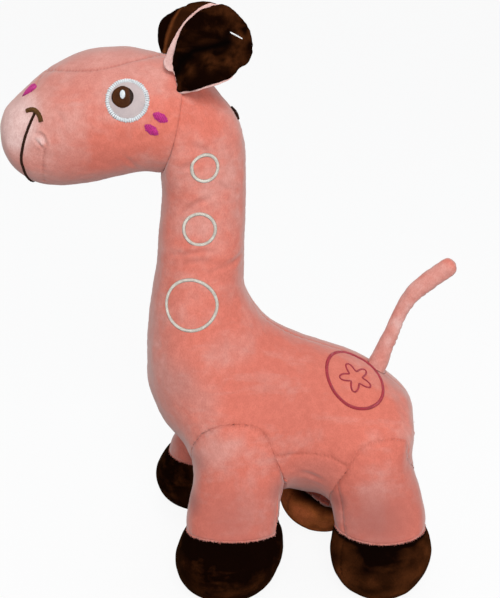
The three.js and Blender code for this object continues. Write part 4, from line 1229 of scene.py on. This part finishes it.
def feltDisc(name, seat, radius, thickness, node):
    rings = []
    for share, lift in discRows:
        ring = ringPlaces(seat, share * radius, share * radius, 64)
        rings.append([point + normal * thickness * lift for point, normal in ring])
    return addPiece(name, ringMesh(name, np.array(rings)), paleFelt, "body", [node])


# Places along a run of points, on the head's cloth but facing as its plain form does
def onHead(points, steps):
    places = []
    for point in smoothRun(points, np.linspace(0, 1, steps)):
        ahead, normal, _, _ = headTree.find_nearest(Vector(point))
        places.append((np.array(headCloth.find_nearest(ahead)[0]), unit(normal)))
    return places


def eyeOn(name, side):
    seat = sideSeat(headCloth, headTree, eye["middle"], side)
    lineWidth = eye["ringStitch"]["width"]
    ringHalf = (eye["across"] - lineWidth) / 2
    ring = ringPlaces(seat, ringHalf, ringHalf, 80)
    satinLine(name + "EyeRing", ring, True, eye["ringStitch"], whiteThread, name + "_eye_ring")
    feltHalf = ringHalf - lineWidth / 2 + eye["under"]
    feltDisc(name + "EyeFelt", seat, feltHalf, eye["felt"], name + "_eye_felt")
    out, up = eye["irisAt"]
    seat.moved = (side * out * eye["across"], up * eye["across"])
    satinPatch(name + "Iris", seat, oval(eye["iris"], eye["iris"]), eye["irisStitch"], brownThread,
               name + "_iris")
    out, up = eye["glintAt"]
    seat.moved = (side * out * eye["across"], up * eye["across"])
    satinPatch(name + "EyeHighlight", seat, oval(*eye["glint"]), eye["glintStitch"], whiteThread,
               name + "_eye_highlight")


for name, side in (("left", -1), ("right", 1)):
    eyeOn(name, side)
    for spot, place, turn in cheekMarks:
        satinPatch(name + "CheekMark" + spot.title(), sideSeat(headCloth, headTree, place, side),
                   oval(*cheek["size"]), cheek["stitch"], magentaThread, name + "_cheek_mark_" + spot,
                   -side * turn * deg)
    for row, place, across in neckRings:
        half = (across - neckStitch["width"]) / 2
        ring = ringPlaces(sideSeat(bodyCloth, bodyTree, place, side), half, half, 72)
        satinLine(name + "NeckRing" + row.title(), ring, True, neckStitch, creamThread,
                  name + "_neck_ring_" + row)
    corner = drawnOn(headTree, mouthCorner)
    corner[:, 1] = shift[1] + side * np.abs(corner[:, 1] - shift[1])
    satinLine(name + "MouthCorner", onHead(corner, 25), False, cornerStitch, goldenThread,
              name + "_mouth_corner")
print("eyes, cheeks and neck rings made")

nearSmile = drawnOn(headTree, smileDrawn)
chin = headTree.ray_cast(Vector((nearSmile[-1][0] + 3.5 * mm, shift[1], 0.1)), Vector((0, 0, 1)))[0]
farSmile = nearSmile[::-1] * (1, -1, 1) + (0, 2 * shift[1], 0)
smile = onHead(np.concatenate([nearSmile, [np.array(chin)], farSmile]), 110)
satinLine("mouthLine", smile, False, smileStitch, lineThread, "mouth_line")

# Thin threads let more of the dark bed show, painting shade over the nose
noseStitch = dict(height=1 * mm, spacing=0.6 * mm, seed=15, cover=0.42)
noseSlope = 40 * deg
noseWay = np.array([math.sin(noseSlope), 0, -math.cos(noseSlope)])
nosePlace = inMiddle(headAt(-0.665, 0)) - noseWay * head["height"]
# Each side of the nose: how far out, then its lower and upper edge on the slope of the muzzle
noseRows = [(11.6, 3.4, 6.4), (12.3, -1, 7.4), (13.2, -4.2, 8), (14.2, -5.4, 8.3), (15.2, -4.2, 8.5),
            (16.3, -2, 8.6), (17.3, 1, 8.4), (18, 3.4, 7.4)]


def noseHalf(side):
    def outline(t):
        out, low, high = smoothRun(noseRows, [(t + 1) / 2])[0] * mm
        return side * out, (high - low) / 2, -(high + low) / 2
    return outline


noseSeat = Seat(headCloth, headTree, nosePlace, noseWay, (1, 0, 0))
satinPatch("nose", noseSeat, [noseHalf(-1), noseHalf(1)], noseStitch, magentaThread, "nose",
           math.pi / 2)

flankTurn = 28 * deg
flankSizes = dict(ringAcross=44.7 * mm, ringUp=50.7 * mm, petals=5, flower=13 * mm)
flankRingStitch = dict(width=2.3 * mm, height=1 * mm, spacing=0.45 * mm, seed=16)
flowerStitch = dict(width=1.2 * mm, height=0.55 * mm, spacing=0.4 * mm, seed=17)
flankOut = np.array([0, -math.sin(flankTurn), math.cos(flankTurn)])
flankPlace = inMiddle((torsoAt(0.38, 0)[0], torso["belly"] + torso["height"] / 2)) + flankOut * torso["width"]
flank = Seat(bodyCloth, bodyTree, flankPlace, -flankOut, upward)
flankRing = ringPlaces(flank, flankSizes["ringAcross"] / 2, flankSizes["ringUp"] / 2, 100)
satinLine("flankRing", flankRing, True, flankRingStitch, redThread, "flank_ring")
flower = []
for turn in turnsOf(120):
    radius = flankSizes["flower"] * (0.72 + 0.28 * math.cos(flankSizes["petals"] * turn))
    flower.append(flank.at(radius * math.sin(turn), radius * math.cos(turn)))
satinLine("flankFlower", flower, True, flowerStitch, redThread, "flank_flower")
print("mouth, nose and flank embroidery made")

# Ears: a brown face and a pink back, cupped along a valley that starts at the root. The far ear's
# hidden edge is in millimetres along and across it, the rest are points of the photograph

ear = dict(layer=3 * mm, root=3.3 * mm, sag=4 * mm, bend=12 * mm, valley=9 * mm, nearCup=6 * mm,
           farCup=5 * mm, clear=0.25 * mm, middle=32 * mm, edgePoints=170, wave=0.012, waveSize=3.5 * mm,
           frontRise=0.15 * mm, backRise=0.12 * mm)
nearFace = [
    (177.1, 92.1), (176.4, 85.7), (174.3, 74.3), (172.1, 62.9), (172.6, 55.7), (175, 47.1), (177.2, 38.6),
    (180, 31.4), (184.6, 23.6), (191.9, 16.4), (200, 10), (208.6, 6.9), (215.3, 4.6), (224.3, 5.2),
    (231.2, 8.6), (237.6, 14), (243.8, 21.4), (248.8, 30), (251.6, 38.6), (252.4, 48.6), (250.7, 57.1),
    (245.7, 64.5), (239.6, 67.9), (234.8, 73.5), (228.6, 78.6), (218.6, 82.1), (207.1, 85.7), (192.9, 90),
]
nearBack = [
    (178.5, 93.5), (176, 85), (172.5, 73), (167.5, 71), (163.8, 67.1), (162.6, 61.4), (165.7, 54.3),
    (170, 44.3), (176.6, 31.8), (183.8, 21.8), (192.7, 13.2), (201.4, 6.4), (209, 3.4), (216, 3.6),
    (224, 6.5), (234, 13), (241, 22), (246, 30), (249, 38.6), (250, 48.6), (248.6, 57.1), (243.7, 65),
    (238.5, 69), (233.6, 75), (228, 80.2), (218.6, 84), (207.1, 87.7), (192.9, 92),
]
nearValley = [(177, 72), (180, 62), (193, 51), (215, 46), (228, 42)]
farFace = [(162, 57), (160, 51.4), (157.9, 40), (157.3, 31.4), (159.6, 21.4), (165.7, 15), (171.4, 11.4),
           (177.1, 7.1), (182.9, 4.4), (192.9, 1.7), (201.4, 0.7), (211.4, 1.6)]
farHidden = [(65, 0), (64, 7), (60, 14), (52, 20), (42, 23), (30, 22), (20, 18), (10, 13), (1, 9)]
farCrest = [(183.5, 4.4), (178.3, 14.3), (173.1, 24.3), (168.7, 34.3), (164.6, 42.9), (162, 54)]


def earFrame(side, share, lean, rootShare, along, facing):
    along = unit(along)
    axis = unit(np.cross(along, facing))
    out = np.array([0, side * math.sin(lean * deg), math.cos(lean * deg)])
    start = inMiddle(headAt(share, 0)) + out * head["height"]
    hit, normal, _, _ = headTree.ray_cast(Vector(start), Vector(-out))
    return np.array(hit) + unit(normal) * rootShare * ear["root"], along, axis, np.cross(axis, along)


# Places on an ear, along it and across it, where the photograph shows them
def onEar(frameOf, pixels, sheet=None):
    origin, along, axis, facing = frameOf
    places = []
    for pixel in pixels:
        start, way = (np.array(v) for v in throughPhoto(*pixel))
        depth = ear["sag"]
        for _ in range(5):
            away = start + way * (((origin + facing * depth - start) @ facing) / (way @ facing)) - origin
            place = np.array([away @ along, away @ axis])
            if sheet is not None:
                depth = float(sheet(place[None])[0]) + ear["layer"] / 2
        places.append(place)
    return np.array(places)


def cupOf(valley, depth):
    def sheet(places):
        away = fromLine(places, valley)[0]
        along = places[:, 0]
        rise = depth * smoothstep(along, -4 * mm, 14 * mm) * (1 - 0.75 * smoothstep(along, 26 * mm, 60 * mm))
        return rise * (1 - bell(away, ear["valley"])) + 0.0025 * mm * (away / mm) ** 2
    return sheet


def closedRun(points, count):
    ends = np.concatenate([points[-2:], points, points[:3]])
    fine = smoothRun(ends, np.linspace(2, len(points) + 2, 1200) / (len(ends) - 1))
    length = lengthAlong(fine)
    even = np.linspace(0, length[-1], count, endpoint=False)
    return np.column_stack([np.interp(even, length, fine[:, i]) for i in (0, 1)])


# Points that lie in a form, or nearer to it than a gap, set back on to that gap
def keptOff(rings, form, gap, reach):
    for i, point in enumerate(rings.reshape(-1, 3).tolist()):
        seat, normal, _, _ = form.find_nearest(Vector(point), reach)
        if seat is not None and (Vector(point) - seat).dot(normal) < gap:
            rings[i // rings.shape[1], i % rings.shape[1]] = np.array(seat + normal * gap)
    return rings


# One cloth of an ear, a cushion over its cupped sheet; facing is 1 for the face and -1 for the back
def earLayer(name, frameOf, facing, outline, sheet, dress, material, node, body, seed):
    origin, along, axis, forward = frameOf
    outline = closedRun(np.asarray(outline), ear["edgePoints"])
    middle = np.array([ear["middle"], 0])
    wave = lumps(np.column_stack([outline, np.zeros(len(outline))]), ear["waveSize"], seed + 5)
    wave = 1 + ear["wave"] * wave[:, None]
    shares = np.concatenate([np.linspace(0.03, 0.86, 22), np.linspace(0.89, 1, 6)])
    rings, marks = [], []
    for front in (True, False):
        for share in shares if front else shares[::-1][1:]:
            places = middle + (outline * wave - middle) * share
            atRoot = 0.5 + 0.5 * smoothstep(places[:, 0], -2 * mm, 8 * mm)
            swell = ear["layer"] * (1 - share ** 9) ** 0.5 * atRoot
            depth = sheet(places) + facing * (ear["frontRise"] + swell if front else ear["backRise"])
            rings.append(origin + places[:, :1] * along + places[:, 1:] * axis + depth[:, None] * forward)
            marks.append(np.column_stack([places, np.full(len(places), share if front else 0)]))
    rings, marks = np.array(rings), np.concatenate(marks)
    points = rings.reshape(-1, 3)
    sewing = Sewing(points)
    uneven = 0.4 * mm * lumps(points, 9 * mm, seed) + 0.15 * mm * lumps(points, 4 * mm, seed + 2)
    sewing.dip += (marks[:, 2] > 0) * uneven
    dress(sewing, marks)
    rings = keptOff(displaced(rings, sewing.dip), headTree, ear["clear"], 8 * mm)
    return addPiece(name, ringMesh(name, rings, marks=sewing.marks()), material, body, [node],
                    (origin, origin + along * ear["bend"]))


# The near ear's rust places, partly rust and partly a painted highlight on its bulging lower half. Each row:
# along and across in millimetres, reach and tone
earRustAndHighlights = [(44, -17, 11, 0), (28, -13, 5, 0.02), (60, 3, 8, 0.14), (32, 6, 6, 0.1), (15, 3, 5, 0.06),
             (46, 14, 8, 0.09), (60, -12, 6, 0.06)]


# The near ear gets painted shade along its valley and rust tones on both halves, partly painted highlight,
# with pleats at the root
def dressNear(valley):
    def dress(sewing, marks):
        pleats = bell(np.abs(marks[:, 0] - 4 * mm), 7 * mm) * np.cos(marks[:, 1] / mm * 1.7)
        sewing.dip += 0.5 * mm * np.clip(pleats, 0, 1) * (marks[:, 2] > 0)
        patchy = 0.6 + lumps(sewing.points, 8 * mm, 31) + 0.9 * lumps(sewing.points, 3 * mm, 5)
        for along, across, reach, tone in earRustAndHighlights:
            away = np.hypot(marks[:, 0] - along * mm, marks[:, 1] - across * mm)
            sewing.tone += tone * np.clip(patchy, 0, 1.8) * bell(away, reach * mm)
        # Painted shade along the valley
        sewing.shade += bell(fromLine(marks[:, :2], valley)[0], 4.2 * mm)
    return dress


# The far ear is seen on edge, with a painted highlight along the crest where its cloth turns over, and
# painted light and shade that make one side of the crest a little paler and the other a little darker
def dressFar(crest):
    def dress(sewing, marks):
        away = fromLine(marks[:, :2], crest)[0]
        sewing.dip -= 2 * mm * bell(away, 2.5 * mm) * (marks[:, 2] > 0)
        inner = smoothstep(marks[:, 1] - np.interp(marks[:, 0], crest[::-1, 0], crest[::-1, 1]), 0, 3 * mm)
        sewing.tone += 0.3 * bell(away, 1.3 * mm) + 0.05 * inner - 0.05 * (1 - inner)
    return dress


def dressPink(sewing, marks):
    sewing.tone += 1.75


nearEar = earFrame(-1, 0.015, 41, 0.88, [0.79, -0.14, 0.58], [-0.3, -0.95, 0.08])
farEar = earFrame(1, -0.04, 14, 0.62, [0.55, 0.7, 0.36], [-0.22, -0.6, 0.8])
nearLine = onEar(nearEar, nearValley)
nearCup = cupOf(nearLine, ear["nearCup"])
farCup = cupOf(np.array([(0, 2), (24, -2), (50, 0)]) * mm, ear["farCup"])
farOutline = np.concatenate([onEar(farEar, farFace, farCup), np.array(farHidden) * mm])
farMiddle = np.array([20 * mm, 0])
farInner = farMiddle + (farOutline - farMiddle) * 0.965
for name, frameOf, facing, outline, cup, dress, seed in (
    ("leftEarFront", nearEar, 1, onEar(nearEar, nearFace, nearCup), nearCup, dressNear(nearLine), 2),
    ("leftEarBack", nearEar, -1, onEar(nearEar, nearBack, nearCup), nearCup, dressPink, 6),
    ("rightEarFront", farEar, 1, farOutline, farCup, dressFar(onEar(farEar, farCrest)), 3),
    ("rightEarBack", farEar, -1, farInner, farCup, dressPink, 8),
):
    side = "left_ear" if frameOf is nearEar else "right_ear"
    cloth = (brownPlush, "_front", "dark_brown_plush") if facing > 0 else (pinkPlush, "_back", "pink_plush")
    earLayer(name, frameOf, facing, outline, cup, dress, cloth[0], side + cloth[1], side, seed)
print("ears made")

# Tail: a tube that flares into the rump, with a puckered seam underneath and a blunt end
# Each row: a point of the photograph on its middle line, and half its width there

tailDrawn = [
    (374, 370, 10.4), (379, 361, 9.7), (382, 354, 9), (385, 346.7, 8.4), (391, 334.5, 7.8),
    (396.4, 321.5, 7.3), (401.3, 311, 7.1), (407.6, 301, 7.9), (416, 291, 8.9), (427.5, 281.8, 9.5),
    (441.5, 272, 9.6), (450, 266.3, 9), (455.3, 262.8, 6.6),
]
tail = dict(step=1.1 * mm, cap=3.5 * mm, width=0.94, seam=(12.2, 0.9, 1.6), bend=(6 * mm, 0, 12 * mm),
            rootRings=24, clear=0.2 * mm)
# How pale the tail is: all along, more past its root, less towards its end, in patches, and paler on top as
# painted light
tailTones = dict(all=0.65, pastRoot=0.3, root=20 * mm, atEnd=0.8, end=(62 * mm, 90 * mm), patches=0.9,
                 top=0.4)


def tailRings():
    rows = []
    for x, y, half in tailDrawn:
        start, way = throughPhoto(x, y)
        reach = (shift[1] - start[1]) / way[1]
        place = start + way * reach
        rows.append((place[0], place[2], half * reach / photo["focal"]))
    spots = smoothRun(rows, evenShares(rows, tail["step"] / rowGain))
    radius = spots[:, 2:3]
    spots = spots[:, :2]
    length = lengthAlong(spots)
    along = np.gradient(spots, axis=0)
    along /= np.linalg.norm(along, axis=1, keepdims=True)
    flat = np.stack([-along[:, 1], along[:, 0]], axis=1)
    beyond = np.clip((length[-1] - length) / tail["cap"], 0.02, 1)[:, None]
    cap = np.sqrt(1 - (1 - beyond) ** 2)
    sides = pointsRound["tail"]
    turn = turnsOf(sides)[None, :]
    rings = np.stack([spots[:, :1] + radius * cap * flat[:, :1] * np.cos(turn),
                      shift[1] + radius * cap * tail["width"] * np.sin(turn),
                      spots[:, 1:] + radius * cap * flat[:, 1:] * np.cos(turn)], axis=-1)
    sewing = Sewing(rings.reshape(-1, 3))
    run = np.repeat(length, sides)
    away = np.tile(awayFrom(turn[0], math.pi), len(length)) * 6 * mm
    sewing.dip += 0.3 * mm * lumps(sewing.points, 8 * mm, 4) - 0.25 * mm * lumps(sewing.points, 3 * mm, 9)
    sewing.sew(away, run, *tail["seam"])
    sewing.tone += tailTones["all"] + tailTones["pastRoot"] * smoothstep(run, 0, tailTones["root"])
    sewing.tone -= tailTones["atEnd"] * smoothstep(run, *tailTones["end"])
    sewing.tone += tailTones["patches"] * lumps(sewing.points, 10 * mm, 14)
    # Painted light: the tail's upper side is paler
    sewing.tone += tailTones["top"] * smoothstep(np.repeat(flat[:, 1], sides), 0, 1)
    rings = displaced(rings, sewing.dip * np.repeat(cap[:, 0], sides))
    root = tail["rootRings"]
    rings[:root] = keptOff(rings[:root], bodyTree, tail["clear"], 1)
    return rings, sewing.marks()


tailPoints, tailMarks = tailRings()
tailRoot = tailPoints[0].mean(axis=0)
tailPiece = addPiece("tailCloth", ringMesh("tailCloth", tailPoints, marks=tailMarks), pinkPlush, "tail",
                     ["tail_cover", "tail_filling"], (tailRoot, tailRoot + tail["bend"]))
print("tail made")

# Tag pin: the solid piece itself, in white plastic

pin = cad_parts["tag_pin"]
pin.data.materials.clear()
pin.data.materials.append(pinPlastic)

# Hanging loop: a dark braid that lies along the seam behind the head

loopStitch = dict(width=2.3 * mm, height=1.3 * mm, spacing=0.6 * mm, seed=21)
loopLow, loopHigh = (np.array(v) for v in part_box("hanging_loop"))
braid = []
for share in np.linspace(0.06, 0.94, 15):
    x = loopLow[0] + (loopHigh[0] - 1.5 * mm - loopLow[0]) * share
    z = loopHigh[2] + (loopLow[2] - loopHigh[2]) * share
    seat, normal, _, _ = bodyCloth.find_nearest(Vector((x, shift[1], z)))
    braid.append((np.array(seat + normal * 1.2 * mm * math.sin(math.pi * share)), unit(normal)))
satinLine("loopBraid", braid, False, loopStitch, lineThread, "hanging_loop")

# Floor, backdrop and lights


# 1 where the camera sees a surface, straight or in metal or glass, and 0 elsewhere
def seenShare(tree):
    rays = addNode(tree, "ShaderNodeLightPath", {}).outputs
    seen = combined(tree, rays["Is Camera Ray"], rays["Is Glossy Ray"], "MAXIMUM")
    return combined(tree, seen, rays["Is Transmission Ray"], "MAXIMUM")


studio = dict(floor=(0.5, 0.51, 0.52, 1), floorGlow=1.06, floorShare=0.86, sky=(0.93, 0.96, 1, 1),
              skyStrength=0.42, white=(1, 1, 1, 1))


def floorMaterial():
    material, tree, shader = newMaterial("floorWhite", 0.8, 0.5)
    shader.inputs["Base Color"].default_value = studio["floor"]
    glow = {"Color": studio["white"], "Strength": studio["floorGlow"]}
    glow = addNode(tree, "ShaderNodeEmission", glow).outputs[0]
    share = combined(tree, seenShare(tree), studio["floorShare"], "MULTIPLY")
    mixed = addNode(tree, "ShaderNodeMixShader", {"Fac": share, 1: shader.outputs[0], 2: glow})
    tree.links.new(mixed.outputs[0], tree.nodes["Material Output"].inputs["Surface"])
    return material


def studioWorld():
    world = bpy.data.worlds.new("studio")
    world.use_nodes = True
    tree = world.node_tree
    light = tree.nodes["Background"]
    light.inputs["Color"].default_value = studio["sky"]
    light.inputs["Strength"].default_value = studio["skyStrength"]
    white = addNode(tree, "ShaderNodeBackground", {"Color": studio["white"]}).outputs[0]
    mixed = addNode(tree, "ShaderNodeMixShader", {"Fac": seenShare(tree), 1: light.outputs[0], 2: white})
    tree.links.new(mixed.outputs[0], tree.nodes["World Output"].inputs["Surface"])
    return world


bpy.ops.mesh.primitive_plane_add(size=16, location=(0, 0, 0))
floor = bpy.context.object
floor.name = "floor"
floor.data.materials.append(floorMaterial())
scene.world = studioWorld()


def areaLight(name, place, target, size, power, colour=(1, 1, 1)):
    data = bpy.data.lights.new(name, "AREA")
    data.shape = "DISK"
    data.size = size
    data.energy = power
    data.color = colour
    lamp = bpy.data.objects.new(name, data)
    scene.collection.objects.link(lamp)
    lamp.location = place
    lamp.rotation_euler = (Vector(target) - Vector(place)).to_track_quat("-Z", "Y").to_euler()


areaLight("keyLamp", (0.1, -1.5, 1.35), (0, 0, 0.22), 0.8, 24, (1, 0.99, 0.97))
areaLight("fillLamp", (1.4, -1.3, 0.7), (0, 0, 0.2), 1.2, 5)
areaLight("topLamp", (0, 0.5, 1.9), (0, 0, 0.2), 1, 5)
scene.view_settings.view_transform = "Standard"

print("done")
